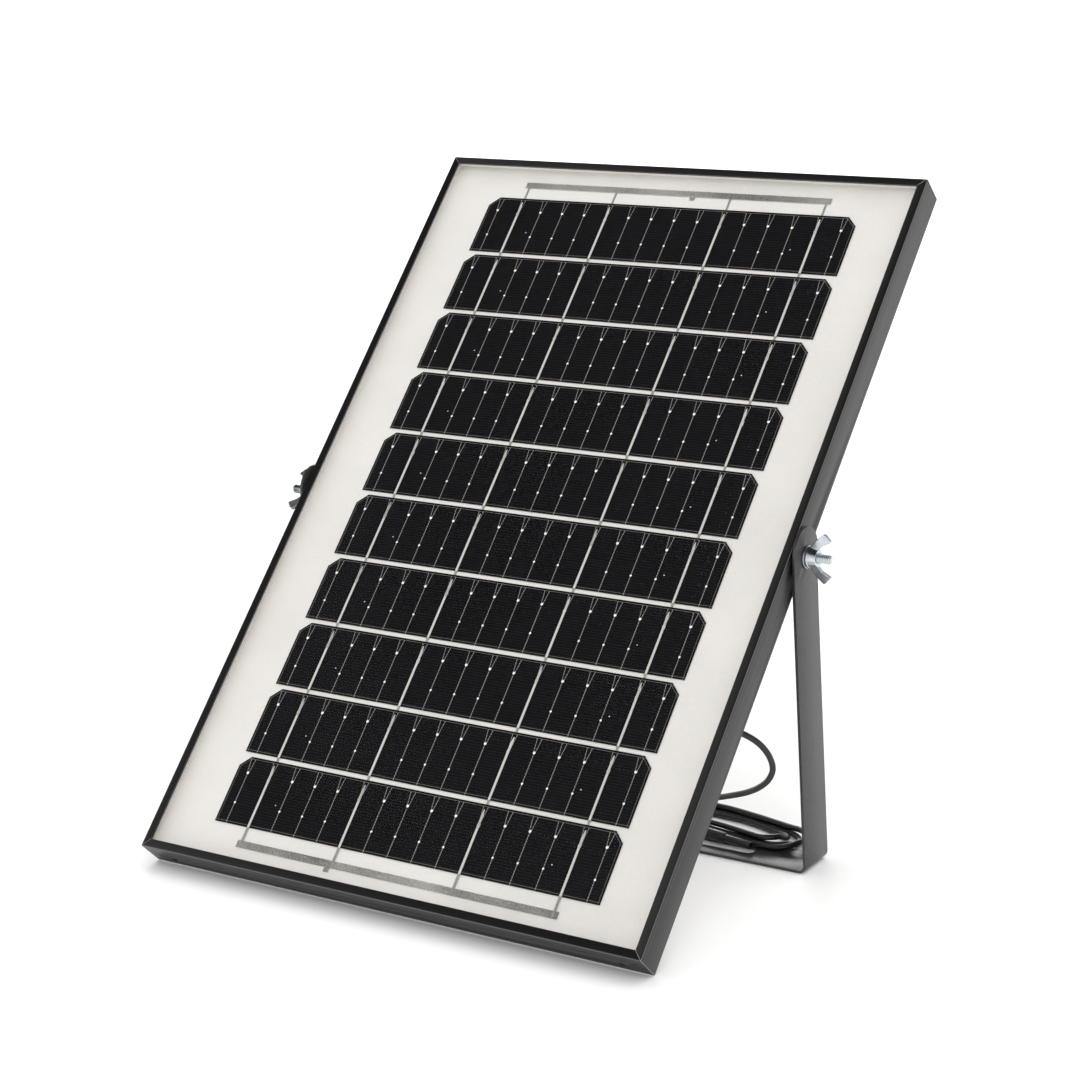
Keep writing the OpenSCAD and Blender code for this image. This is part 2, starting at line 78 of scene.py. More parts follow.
# ---------------------------------------------------------------- colour and shader helpers


def linear(code: str) -> tuple[float, float, float, float]:
    """Turns an sRGB hex colour to linear light.

    Args:
        code: The colour as "#rrggbb".

    Returns:
        Linear red, green, blue and an alpha of one.
    """
    parts = [int(code[i : i + 2], 16) / 255 for i in (1, 3, 5)]
    flat = [c / 12.92 if c <= 0.04045 else ((c + 0.055) / 1.055) ** 2.4 for c in parts]
    return flat[0], flat[1], flat[2], 1.0


class Shader:
    """The node tree of one material, or of the surroundings, while it is being built."""

    def __init__(self, name: str, sky: bool = False) -> None:
        """Starts an empty node tree.

        Args:
            name: The material's or world's name.
            sky: True for the surroundings instead of a material.
        """
        self.owner = bpy.data.worlds.new(name) if sky else bpy.data.materials.new(name)
        self.owner.use_nodes = True
        self.tree = self.owner.node_tree
        self.tree.nodes.clear()
        self.end = self.tree.nodes.new("ShaderNodeOutputWorld" if sky else "ShaderNodeOutputMaterial")

    def add(
        self, kind: str, inputs: dict[int | str, object] | None = None, out: int | str = 0, **settings: object
    ) -> Socket:
        """Adds one node with its settings and links.

        Args:
            kind: The node's type name.
            inputs: Values or sockets for its inputs, by name or number.
            out: Which output to give back.
            **settings: Properties of the node.

        Returns:
            The chosen output socket.
        """
        node = self.tree.nodes.new(kind)
        for key, value in settings.items():
            setattr(node, key, value)
        for key, value in (inputs or {}).items():
            if isinstance(value, bpy.types.NodeSocket):
                self.tree.links.new(value, node.inputs[key])
            else:
                node.inputs[key].default_value = value
        return node.outputs[out]

    def calc(self, operation: str, *values: Socket | float) -> Socket:
        """Adds one maths node.

        Args:
            operation: What it does.
            *values: Its inputs, in order.

        Returns:
            Its result.
        """
        return self.add("ShaderNodeMath", dict(enumerate(values)), operation=operation)

    def mix(self, share: Socket, first: Socket | str, second: Socket | str) -> Socket:
        """Adds a mix of two colours.

        Args:
            share: How much of the second colour there is, from zero to one.
            first: The first colour, as a socket or a hex code.
            second: The second colour, likewise.

        Returns:
            The mixed colour.
        """
        a, b = (linear(c) if isinstance(c, str) else c for c in (first, second))
        return self.add("ShaderNodeMix", {0: share, 6: a, 7: b}, 2, data_type="RGBA")

    def noise(self, where: Socket, scale: float, detail: float) -> Socket:
        """Adds a noise texture.

        Args:
            where: The place it is read at.
            scale: Its scale.
            detail: Its detail.

        Returns:
            Its value.
        """
        return self.add("ShaderNodeTexNoise", {"Vector": where, "Scale": scale, "Detail": detail})

    def ramp(self, value: Socket, stops: Sequence[tuple[float, str]]) -> Socket:
        """Adds a colour ramp.

        Args:
            value: The socket that drives it.
            stops: Positions and hex colours, in order.

        Returns:
            The ramp's colour socket.
        """
        colour = self.add("ShaderNodeValToRGB", {0: value})
        elements = colour.node.color_ramp.elements
        while len(elements) < len(stops):
            elements.new(0.5)
        for element, (place, code) in zip(elements, stops):
            element.position = place
            element.color = linear(code)
        return colour

    def close(self, surface: Socket) -> bpy.types.Material | bpy.types.World:
        """Links the surface to the output and returns the material or world."""
        self.tree.links.new(surface, self.end.inputs["Surface"])
        return self.owner


# ---------------------------------------------------------------- where the panel stands


@dataclass(frozen=True)
class PanelPlane:
    """Turns the panel's own measures, in millimetres, to places in the room."""

    width: float = 235.0
    height: float = 352.0
    depth: float = 14.0
    lean_deg: float = 44.5
    pivot_u: float = 176.0
    pivot_d: float = 9.75

    @property
    def lean(self) -> float:
        """The lean back from the vertical, in radians."""
        return math.radians(self.lean_deg)

    @property
    def shift(self) -> float:
        """How far the panel is moved along Y so that its box is centred, in millimetres."""
        return (self.depth * math.cos(self.lean) - self.height * math.sin(self.lean)) / 2

    def matrix(self) -> Matrix:
        """The turn from an upright panel to its lean.

        Returns:
            The matrix, for a panel whose front face is at y = 0 and lower edge at z = 0, in metres.
        """
        return (
            Matrix.Translation((0, self.shift * MM, 0))
            @ Matrix.Rotation(-self.lean, 4, "X")
            @ Matrix.Translation((0, -self.depth * MM, 0))
        )

    def place(self, x: float, u: float, d: float) -> Vector:
        """A place in the room.

        Args:
            x: Across the panel from its middle, mm.
            u: Up the slope from its lower edge, mm.
            d: Behind its front face, mm.

        Returns:
            The point in metres.
        """
        return self.matrix() @ Vector((x * MM, d * MM, u * MM))

    def local_mm(self, s: Shader) -> tuple[Socket, Socket, Socket]:
        """Adds the nodes that give x, depth and height up the slope in millimetres.

        Args:
            s: The shader to add to.

        Returns:
            The three sockets, in that order.
        """
        where = s.add("ShaderNodeTexCoord", out="Object")
        turned = s.add(
            "ShaderNodeMapping",
            {
                "Vector": where,
                "Scale": (1000, 1000, 1000),
                "Rotation": (self.lean, 0, 0),
                "Location": (
                    0,
                    self.depth - self.shift * math.cos(self.lean),
                    -self.shift * math.sin(self.lean),
                ),
            },
            vector_type="POINT",
        )
        apart = s.add("ShaderNodeSeparateXYZ", {0: turned}).node
        return apart.outputs[0], apart.outputs[1], apart.outputs[2]


PLANE = PanelPlane()


# ---------------------------------------------------------------- finishes


@dataclass(frozen=True)
class AnodisedAluminium:
    """Black anodised extrusion: a satin skin with a fine even grain, bright sawn mitres and painted highlight
    lines where its edges catch the light.
    """

    name: str = "black_anodised_aluminium"
    colour: str = "#0d0d0e"
    worn: str = "#161616"
    # bare metal at the sawn mitres, and the painted highlight on the edge lines
    bare_and_highlight: str = "#b9b7b2"
    roughness: float = 0.4
    grain_mm: float = 0.35
    mitre_mm: float = 0.16
    # depth behind the front, half width and strength of each painted highlight line, where an edge catches
    # the light
    painted_edge_highlights: tuple[Point, ...] = ((0.35, 0.1, 0.28), (2.5, 0.09, 0.16))

    def build(self) -> bpy.types.Material:
        """Builds the material.

        Returns:
            The material.
        """
        s = Shader(self.name)
        x, d, u = PLANE.local_mm(s)
        where = s.add("ShaderNodeTexCoord", out="Object")
        grain = s.noise(where, 1 / (self.grain_mm * MM), 3.0)
        base = s.mix(s.noise(where, 22.0, 2.0), self.colour, self.worn)
        # the cut at each corner: as far in from the side as from the top or bottom edge
        side = s.calc("SUBTRACT", PLANE.width / 2, s.calc("ABSOLUTE", x))
        up = s.calc("MINIMUM", u, s.calc("SUBTRACT", PLANE.height, u))
        off = s.calc("ABSOLUTE", s.calc("SUBTRACT", side, up))
        cut = s.calc("LESS_THAN", off, s.calc("MULTIPLY", grain, self.mitre_mm))
        # painted highlight lines along the outer faces, where the front edge and the step behind it catch the
        # light
        for depth, wide, share in self.painted_edge_highlights:
            off = s.calc("ABSOLUTE", s.calc("SUBTRACT", d, depth))
            cut = s.calc("MAXIMUM", cut, s.calc("MULTIPLY", s.calc("LESS_THAN", off, wide), share))
        # cut holds the bare mitres and the painted highlight lines; both take the bare colour
        colour = s.mix(cut, base, self.bare_and_highlight)
        rough = s.add("ShaderNodeMapRange", {"Value": grain, "To Min": self.roughness - 0.07,
                                             "To Max": self.roughness + 0.09})
        bump = s.add("ShaderNodeBump", {"Height": grain, "Strength": 0.12, "Distance": 0.00005})
        return s.close(
            s.add("ShaderNodeBsdfPrincipled",
                  {"Base Color": colour, "Roughness": rough, "Metallic": 0.0, "IOR": 1.5, "Normal": bump})
        )


@dataclass(frozen=True)
class SolarGlass:
    """Low-iron tempered glass with a faint anti-glare etch: clear, with one soft reflection."""

    name: str = "low_iron_glass"
    roughness: float = 0.09
    reflect: float = 0.06
    index: float = 1.45

    def build(self) -> bpy.types.Material:
        """Builds the material.

        Returns:
            The material.
        """
        s = Shader(self.name)
        etch = s.noise(s.add("ShaderNodeTexCoord", out="Object"), 300.0, 2.0)
        bump = s.add("ShaderNodeBump", {"Height": etch, "Strength": 0.01, "Distance": 0.00005})
        coated = s.calc("MULTIPLY", s.add("ShaderNodeFresnel", {"IOR": self.index}), self.reflect)
        clear = s.add("ShaderNodeBsdfTransparent", {"Color": linear("#ffffff")})
        gloss = s.add(
            "ShaderNodeBsdfGlossy",
            {"Color": linear("#ffffff"), "Roughness": self.roughness, "Normal": bump},
        )
        return s.close(s.add("ShaderNodeMixShader", {0: coated, 1: clear, 2: gloss}))


@dataclass(frozen=True)
class CellPrint:
    """Textured mono silicon under dark nitride, screen-printed with silver fingers, busbars and pads.

    Sizes are in millimetres. Pads' heights are shares of a strip's height, and busbars count from the left.
    """

    name: str = "mono_silicon_cell"
    silicon: str = "#101011"
    blue: str = "#131315"
    silver: str = "#f3ede6"
    finger: str = "#1e1e21"
    width: float = 182.0
    height: float = 29.8
    gap: float = 1.9
    strips: int = 10
    busbars: int = 16
    tabs: tuple[int, ...] = (2, 6, 11, 15)  # busbars that carry a ribbon
    finger_pitch: float = 1.25
    finger_w: float = 0.34  # real fingers are 0.04 mm; drawn this wide, and faint, so that they show
    busbar_w: float = 0.17
    bead_pitch: float = 1.25
    bead_gap: float = 0.45
    bead_shine: tuple[float, float] = (0.12, 0.32)  # between the beads, and on them
    pad: float = 0.58
    top_pad: float = 0.76
    low_pad: float = 0.31
    fork: float = 1.2
    fork_foot: float = 0.38
    stray_pad: float = 0.28
    stray_at: float = 0.385
    strays: tuple[tuple[int, float], ...] = ((3, -3.0), (14, 3.0))  # busbar, and how far beside it
    stray_shine: float = 0.7
    rim_in: float = 0.9
    rim_w: float = 0.09
    corner_in: float = 5.6
    corner_w: float = 0.12
    rim_shine: float = 0.16

    @property
    def start(self) -> float:
        """Height of the lowest strip's lower edge above the panel's lower edge, mm."""
        tall = (self.strips - 1) * (self.height + self.gap) + self.height
        return (PLANE.height - tall) / 2

    def build(self) -> bpy.types.Material:
        """Builds the material.

        Returns:
            The material.
        """
        s = Shader(self.name)
        x, _, u = PLANE.local_mm(s)
        step, tall = self.width / self.busbars, self.height
        along = s.calc("ADD", x, self.width / 2)
        bar = s.calc("SUBTRACT", s.calc("FLOORED_MODULO", along, step), step / 2)
        near = s.calc("ABSOLUTE", bar)
        number = s.calc("FLOOR", s.calc("DIVIDE", along, step))
        v = s.calc("FLOORED_MODULO", s.calc("SUBTRACT", u, self.start), tall + self.gap)
        pad_v, low_v, stray_v = self.top_pad * tall, self.low_pad * tall, self.stray_at * tall

        def both(a: Socket, b: Socket | float) -> Socket:
            """One where both are one."""
            return s.calc("MULTIPLY", a, b)

        def either(a: Socket, b: Socket) -> Socket:
            """One where either is one."""
            return s.calc("MAXIMUM", a, b)

        def band(value: Socket, middle: float, half: float) -> Socket:
            """One inside a stripe, given its middle and half its width."""
            return s.calc("LESS_THAN", s.calc("ABSOLUTE", s.calc("SUBTRACT", value, middle)), half)

        def busbar(count: int) -> Socket:
            """One on the strip's part that belongs to one busbar."""
            return band(number, count - 1, 0.4)

        def spot(middle_x: float, middle_v: float, radius: float) -> Socket:
            """Marks a round pad on or beside every busbar.

            Args:
                middle_x: Its middle beside the busbar, mm.
                middle_v: Its middle above the strip's lower edge, mm.
                radius: Its radius, mm.

            Returns:
                One inside the pad, zero outside.
            """
            dx = s.calc("SUBTRACT", bar, middle_x)
            dv = s.calc("SUBTRACT", v, middle_v)
            far = s.calc("MULTIPLY_ADD", dv, dv, s.calc("MULTIPLY", dx, dx))
            return s.calc("LESS_THAN", far, radius * radius)

        # tabbed busbars carry a ribbon, so they are printed without a line or pads
        plain = s.calc("SUBTRACT", 1.0, reduce(either, [busbar(tab) for tab in self.tabs]))
        # the fork: two lines that start apart at the upper edge and meet at the pad
        rise = s.add(
            "ShaderNodeMapRange",
            {"Value": v, "From Min": pad_v, "From Max": tall, "To Min": self.fork_foot, "To Max": self.fork},
        )
        prong = s.calc("ABSOLUTE", s.calc("SUBTRACT", near, rise))
        thin = s.calc("LESS_THAN", prong, self.busbar_w * 0.8)
        above = s.calc("GREATER_THAN", v, pad_v)
        below_edge = s.calc("LESS_THAN", v, tall - self.rim_in)
        forks = both(both(thin, above), below_edge)
        line = both(s.calc("LESS_THAN", near, self.busbar_w), s.calc("LESS_THAN", v, pad_v))
        beads = s.calc("GREATER_THAN", s.calc("FLOORED_MODULO", v, self.bead_pitch), self.bead_gap)
        beaded = s.add("ShaderNodeMapRange", {"Value": beads, "To Min": self.bead_shine[0],
                                              "To Max": self.bead_shine[1]})
        lines = both(either(both(line, plain), forks), beaded)
        pads = both(either(spot(0, pad_v, self.pad), spot(0, low_v, self.pad * 0.8)), plain)
        strays = [both(spot(beside, stray_v, self.stray_pad), busbar(at)) for at, beside in self.strays]
        pads = either(pads, both(reduce(either, strays), self.stray_shine))
        # a thin line just inside the strip's edge, and along its cut corners
        out = s.calc("ABSOLUTE", x)
        rim = reduce(either, [
            band(out, self.width / 2 - self.rim_in, self.rim_w),
            band(v, self.rim_in, self.rim_w),
            band(v, tall - self.rim_in, self.rim_w),
            band(s.calc("ADD", out, v), self.width / 2 + tall - self.corner_in, self.corner_w),
        ])
        shine = either(either(lines, both(rim, self.rim_shine)), pads)
        row = s.calc("LESS_THAN", s.calc("FLOORED_MODULO", v, self.finger_pitch), self.finger_w)
        cloud = s.noise(s.add("ShaderNodeTexCoord", out="Object"), 14.0, 3.0)
        fingers = s.mix(row, s.mix(cloud, self.silicon, self.blue), self.finger)
        colour = s.mix(shine, fingers, self.silver)
        rough = s.add("ShaderNodeMapRange", {"Value": shine, "To Min": 0.42, "To Max": 0.55})
        return s.close(
            s.add("ShaderNodeBsdfPrincipled",
                  {"Base Color": colour, "Roughness": rough, "IOR": 1.5, "Specular IOR Level": 0.04})
        )


@dataclass(frozen=True)
class Grained:
    """One colour with a fine grain: moulded plastic, rubber, powder coat, sheet or rolled metal."""

    name: str
    dark: str
    light: str
    grain_mm: float
    roughness: float
    metallic: float = 0.0
    bump: float = 0.25
    depth_mm: float = 0.05
    cloud_mm: float = 30.0
    index: float = 1.5
    speck: str = ""

    def build(self) -> bpy.types.Material:
        """Builds the material.

        Returns:
            The material.
        """
        s = Shader(self.name)
        where = s.add("ShaderNodeTexCoord", out="Object")
        grain = s.add(
            "ShaderNodeTexNoise",
            {"Vector": where, "Scale": 1 / (self.grain_mm * MM), "Detail": 4.0, "Roughness": 0.6},
        )
        cloud = s.noise(where, 1 / (self.cloud_mm * MM), 2.0)
        mixed = s.calc("MULTIPLY_ADD", grain, 0.45, s.calc("MULTIPLY", cloud, 0.55))
        colour = s.ramp(mixed, [(0.35, self.dark), (0.65, self.light)])
        if self.speck:
            fleck = s.add("ShaderNodeTexVoronoi", {"Vector": where, "Scale": 1 / (self.grain_mm * 2.2 * MM)})
            faint = s.calc("MULTIPLY", s.calc("LESS_THAN", fleck, 0.2), 0.45)
            colour = s.mix(faint, colour, self.speck)
        rough = s.add(
            "ShaderNodeMapRange",
            {"Value": mixed, "To Min": max(0.02, self.roughness - 0.08), "To Max": self.roughness + 0.08},
        )
        bump = s.add(
            "ShaderNodeBump", {"Height": grain, "Strength": self.bump, "Distance": self.depth_mm * MM}
        )
        inputs = {"Base Color": colour, "Roughness": rough, "Metallic": self.metallic, "Normal": bump}
        if self.metallic < 0.5:
            inputs["IOR"] = self.index
        return s.close(s.add("ShaderNodeBsdfPrincipled", inputs))


@dataclass(frozen=True)
class Backsheet:
    """White polyester backsheet, a little uneven where the cells press into it."""

    name: str = "white_polyester_backsheet"
    low: str = "#dcd9d4"
    high: str = "#e4e1dc"

    def build(self) -> bpy.types.Material:
        """Builds the material.

        Returns:
            The material.
        """
        s = Shader(self.name)
        where = s.add("ShaderNodeTexCoord", out="Object")
        cloud = s.noise(where, 30.0, 3.0)
        colour = s.ramp(cloud, [(0.3, self.low), (0.7, self.high)])
        both = s.calc("MULTIPLY_ADD", s.noise(where, 800.0, 2.0), 0.3, cloud)
        bump = s.add("ShaderNodeBump", {"Height": both, "Strength": 0.15, "Distance": 0.0003})
        return s.close(
            s.add("ShaderNodeBsdfPrincipled",
                  {"Base Color": colour, "Roughness": 0.55, "IOR": 1.58, "Normal": bump})
        )


@dataclass(frozen=True)
class RibbonTin:
    """Tinned ribbon: bright over the dark cells, with painted shade between them where it dips and shows its
    side.
    """

    name: str = "bright_tinned_ribbon"
    bright: str = "#dedad4"
    # painted shade where the ribbon dips between the cells and past the outer ones
    dip_shade: str = "#a09d98"
    roughness: float = 0.4
    cells: CellPrint = field(default_factory=CellPrint)

    def build(self) -> bpy.types.Material:
        """Builds the material.

        Returns:
            The material.
        """
        s = Shader(self.name)
        _, _, u = PLANE.local_mm(s)
        low, tall = self.cells.start, self.cells.height
        v = s.calc("FLOORED_MODULO", s.calc("SUBTRACT", u, low), tall + self.cells.gap)
        off = s.calc("GREATER_THAN", v, tall)
        for edge, test in ((low, "LESS_THAN"), (PLANE.height - low, "GREATER_THAN")):
            off = s.calc("MAXIMUM", off, s.calc(test, u, edge))
        # painted shade: darker between the cells and beyond the outer ones, where the ribbon dips
        colour = s.mix(off, self.bright, self.dip_shade)
        grain = s.noise(s.add("ShaderNodeTexCoord", out="Object"), 2000.0, 3.0)
        bump = s.add("ShaderNodeBump", {"Height": grain, "Strength": 0.3, "Distance": 0.00005})
        return s.close(
            s.add("ShaderNodeBsdfPrincipled",
                  {"Base Color": colour, "Metallic": 0.25, "Roughness": self.roughness, "Normal": bump})
        )


@dataclass(frozen=True)
class Finishes:
    """Every finish of the object, built once."""

    anodised: bpy.types.Material = field(default_factory=lambda: AnodisedAluminium().build())
    glass: bpy.types.Material = field(default_factory=lambda: SolarGlass().build())
    cell: bpy.types.Material = field(default_factory=lambda: CellPrint().build())
    backsheet: bpy.types.Material = field(default_factory=lambda: Backsheet().build())
    # white encapsulant behind the cells: the backsheet's white, a touch softer
    white_eva: bpy.types.Material = field(default_factory=lambda: Grained(
        "white_encapsulant", "#dcd9d4", "#e4e1dc", 1.2, 0.5, bump=0.05, index=1.48).build())
    # silicone: slightly yellow white with a rubbery sheen
    silicone: bpy.types.Material = field(default_factory=lambda: Grained(
        "silicone_sealant", "#dedbd4", "#eceae4", 0.8, 0.42, bump=0.2, index=1.41).build())
    # tinned copper: dull silver with a rolled, slightly wavy face
    tinned: bpy.types.Material = field(default_factory=lambda: Grained(
        "tinned_copper", "#76746f", "#dedbd5", 0.7, 0.34, metallic=0.6, bump=0.9, depth_mm=0.09).build())
    ribbon: bpy.types.Material = field(default_factory=lambda: RibbonTin().build())
    solder: bpy.types.Material = field(default_factory=lambda: Grained(
        "solder", "#a8a29a", "#f2eee8", 0.35, 0.3, metallic=0.35, bump=0.7).build())
    # powder coat: dark grey, an orange-peel skin with fine light specks
    powder: bpy.types.Material = field(default_factory=lambda: Grained(
        "powder_coated_steel", "#262526", "#343334", 0.28, 0.38, bump=0.4, depth_mm=0.06,
        index=1.55, speck="#8d8b88").build())
    # bright zinc: bluish silver with soft wear clouds
    zinc: bpy.types.Material = field(default_factory=lambda: Grained(
        "bright_zinc_plate", "#b4bcc4", "#dfe4e8", 0.6, 0.24, metallic=1.0, bump=0.12, cloud_mm=4.0).build())
    fibre: bpy.types.Material = field(default_factory=lambda: Grained(
        "black_nylon_washer", "#141414", "#202020", 0.3, 0.5, bump=0.3).build())
    # soft PVC jacket: black, glossy, with a faint drag texture
    pvc: bpy.types.Material = field(default_factory=lambda: Grained(
        "black_pvc_jacket", "#101010", "#1b1b1b", 0.9, 0.32, bump=0.18, depth_mm=0.04, index=1.53).build())
    # spark-eroded mould texture on ABS
    abs_black: bpy.types.Material = field(default_factory=lambda: Grained(
        "moulded_black_abs", "#191919", "#232323", 0.22, 0.5, bump=0.5, depth_mm=0.04, index=1.54).build())
    gasket: bpy.types.Material = field(default_factory=lambda: Grained(
        "epdm_gasket", "#2b2b2a", "#3a3a38", 0.4, 0.7, bump=0.3).build())
    brass: bpy.types.Material = field(default_factory=lambda: Grained(
        "brass_terminal", "#b08d45", "#d3b36a", 0.5, 0.3, metallic=1.0, bump=0.15).build())
    diode: bpy.types.Material = field(default_factory=lambda: Grained(
        "epoxy_diode", "#1b1b1d", "#29292b", 0.3, 0.35, bump=0.2).build())
    core: bpy.types.Material = field(default_factory=lambda: Grained(
        "red_pvc_core", "#8f1512", "#b32620", 0.6, 0.35, bump=0.15).build())
    mill: bpy.types.Material = field(default_factory=lambda: Grained(
        "mill_aluminium", "#a9abad", "#c8cacc", 0.5, 0.35, metallic=1.0, bump=0.2).build())


# ---------------------------------------------------------------- modelling helpers


def clear_selection() -> None:
    """Deselects everything."""
    bpy.ops.object.select_all(action="DESELECT")


def hold(obj: bpy.types.Object) -> bpy.types.Object:
    """Makes one object the only selected and active one.

    Args:
        obj: The object.

    Returns:
        The same object.
    """
    clear_selection()
    obj.select_set(True)
    bpy.context.view_layer.objects.active = obj
    return obj


def settle(obj: bpy.types.Object, matrix: Matrix | None = None) -> bpy.types.Object:
    """Places an object and puts its place into its mesh.

    Args:
        obj: The object.
        matrix: Where to put it, or None to leave it where it is.

    Returns:
        The same object, at the origin, unturned and unscaled.
    """
    hold(obj)
    if matrix is not None:
        obj.matrix_world = matrix @ obj.matrix_world
        bpy.context.view_layer.update()
    bpy.ops.object.transform_apply(location=True, rotation=True, scale=True)
    return obj


@contextmanager
def editing(obj: bpy.types.Object) -> Iterator[None]:
    """Holds an object in edit mode, with all of it selected, for as long as the block lasts."""
    hold(obj)
    bpy.ops.object.mode_set(mode="EDIT")
    bpy.ops.mesh.select_all(action="SELECT")
    yield
    bpy.ops.object.mode_set(mode="OBJECT")


def apply_modifiers(obj: bpy.types.Object) -> None:
    """Applies every modifier of an object in order."""
    hold(obj)
    for name in [m.name for m in obj.modifiers]:
        bpy.ops.object.modifier_apply(modifier=name)


def finish_mesh(obj: bpy.types.Object, material: bpy.types.Material, angle: float = 35) -> bpy.types.Object:
    """Gives a piece its material and smooths its shading.

    Args:
        obj: The piece.
        material: Its finish.
        angle: Edges sharper than this stay crisp, in degrees.

    Returns:
        The same piece.
    """
    obj.data.materials.clear()
    obj.data.materials.append(material)
    hold(obj)
    bpy.ops.object.shade_smooth_by_angle(angle=math.radians(angle))
    return obj


def paint(node: str, material: bpy.types.Material) -> None:
    """Gives a CAD node its finish.

    Args:
        node: The node's name.
        material: Its finish.
    """
    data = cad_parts[node].data
    data.materials.clear()
    data.materials.append(material)
    LOG.info("node %s: %s", node, material.name)


def softened(node: str, name: str, width_mm: float, segments: int = 2) -> bpy.types.Object:
    """A copy of a CAD node with its sharp edges rounded.

    Args:
        node: The CAD node.
        name: The new piece's name.
        width_mm: Width of the rounding.
        segments: Faces across the rounding.

    Returns:
        The new piece.
    """
    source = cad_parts[node]
    obj = bpy.data.objects.new(name, source.data.copy())
    bpy.context.scene.collection.objects.link(obj)
    with editing(obj):
        bpy.ops.mesh.remove_doubles(threshold=1e-6)
        bpy.ops.mesh.dissolve_limited(angle_limit=math.radians(0.5))
    bevel = obj.modifiers.new("round", "BEVEL")
    bevel.width, bevel.segments = width_mm * MM, segments
    bevel.limit_method, bevel.angle_limit = "ANGLE", math.radians(32)
    bevel.use_clamp_overlap = True
    apply_modifiers(obj)
    return obj


def turned(name: str, stations: Sequence[tuple[float, float]], sides: int = 32) -> bpy.types.Object:
    """A closed turned piece along +Z, made by extruding and scaling a disc from station to station.

    Args:
        name: The piece's name.
        stations: Height and radius in millimetres, in order. A radius of zero isn't used.
        sides: Faces round it.

    Returns:
        The piece.
    """
    clear_selection()
    z0, r0 = stations[0]
    bpy.ops.mesh.primitive_circle_add(
        vertices=sides, radius=r0 * MM, fill_type="NGON", location=(0, 0, z0 * MM)
    )
    obj = bpy.context.object
    obj.name = obj.data.name = name
    with editing(settle(obj)):
        at_z, at_r = z0, r0
        for z, r in stations[1:]:
            bpy.ops.mesh.extrude_region_move(TRANSFORM_OT_translate={"value": (0, 0, (z - at_z) * MM)})
            bpy.ops.transform.resize(value=(r / at_r, r / at_r, 1), center_override=(0, 0, z * MM))
            at_z, at_r = z, r
        bpy.ops.mesh.select_all(action="SELECT")
        bpy.ops.mesh.normals_make_consistent(inside=False)
    return obj


def block(name: str, low: Point, high: Point, bevel_mm: float, segments: int = 3) -> bpy.types.Object:
    """A box between two corners in millimetres, with rounded edges.

    Args:
        name: The piece's name.
        low: Its lowest corner.
        high: Its highest corner.
        bevel_mm: Radius of the rounding.
        segments: Faces across the rounding.

    Returns:
        The piece.
    """
    clear_selection()
    middle = [(a + b) / 2 * MM for a, b in zip(low, high)]
    bpy.ops.mesh.primitive_cube_add(size=1, location=middle)
    obj = bpy.context.object
    obj.name = obj.data.name = name
    obj.scale = [(b - a) * MM for a, b in zip(low, high)]
    with editing(settle(obj)):
        bpy.ops.mesh.bevel(offset=bevel_mm * MM, segments=segments, affect="EDGES")
    return obj


def joined(name: str, parts: Sequence[bpy.types.Object]) -> bpy.types.Object:
    """Joins pieces into one object.

    Args:
        name: The new object's name.
        parts: The pieces; the first one is kept.

    Returns:
        The joined object.
    """
    hold(parts[0])
    for part in parts[1:]:
        part.select_set(True)
    if len(parts) > 1:
        bpy.ops.object.join()
    parts[0].name = parts[0].data.name = name
    return parts[0]


def along(start: Vector, end: Vector) -> Matrix:
    """The matrix that takes +Z at the origin to the line from start to end."""
    way = (end - start).normalized()
    return Matrix.Translation(start) @ way.to_track_quat("Z", "Y").to_matrix().to_4x4()


def ride(obj: bpy.types.Object, body: Body, slot: str, *nodes: str) -> bpy.types.Object:
    """Lets a piece ride on a body in place of CAD nodes.

    Args:
        obj: The piece.
        body: The body it moves with.
        slot: A material slot's name; not used.
        *nodes: CAD nodes that it stands for.

    Returns:
        The same piece.
    """
    if nodes:
        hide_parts(*nodes)
    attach(obj, body.value)
    LOG.info("piece %s rides on %s in place of %s", obj.name, body.value, nodes or "nothing")
    return obj


# ---------------------------------------------------------------- cord helpers


def smooth_route(points: Sequence[Sequence[float]], step: float) -> list[Vector]:
    """A smooth line through points.

    Args:
        points: The points, in order.
        step: Distance between the new points, in the same unit.

    Returns:
        Evenly spaced points on a centripetal curve through them.
    """
    given = [Vector(p) for p in points]
    given = [2 * given[0] - given[1], *given, 2 * given[-1] - given[-2]]
    dense: list[Vector] = []
    for a, b, c, d in zip(given, given[1:], given[2:], given[3:]):
        t1 = max((b - a).length, 1e-9) ** 0.5
        t2 = t1 + max((c - b).length, 1e-9) ** 0.5
        t3 = t2 + max((d - c).length, 1e-9) ** 0.5
        for i in range(24):
            t = t1 + (t2 - t1) * i / 24
            a1 = a * ((t1 - t) / t1) + b * (t / t1)
            a2 = b * ((t2 - t) / (t2 - t1)) + c * ((t - t1) / (t2 - t1))
            a3 = c * ((t3 - t) / (t3 - t2)) + d * ((t - t2) / (t3 - t2))
            b1 = a1 * ((t2 - t) / t2) + a2 * (t / t2)
            b2 = a2 * ((t3 - t) / (t3 - t1)) + a3 * ((t - t1) / (t3 - t1))
            dense.append(b1 * ((t2 - t) / (t2 - t1)) + b2 * ((t - t1) / (t2 - t1)))
    dense.append(given[-2])
    out, left = [dense[0]], step
    for a, b in zip(dense, dense[1:]):
        gap, at = (b - a).length, 0.0
        while gap - at >= left:
            at += left
            out.append(a.lerp(b, at / gap))
            left = step
        left -= gap - at
    if (out[-1] - dense[-1]).length < step / 2:
        out[-1] = dense[-1]
    else:
        out.append(dense[-1])
    return out


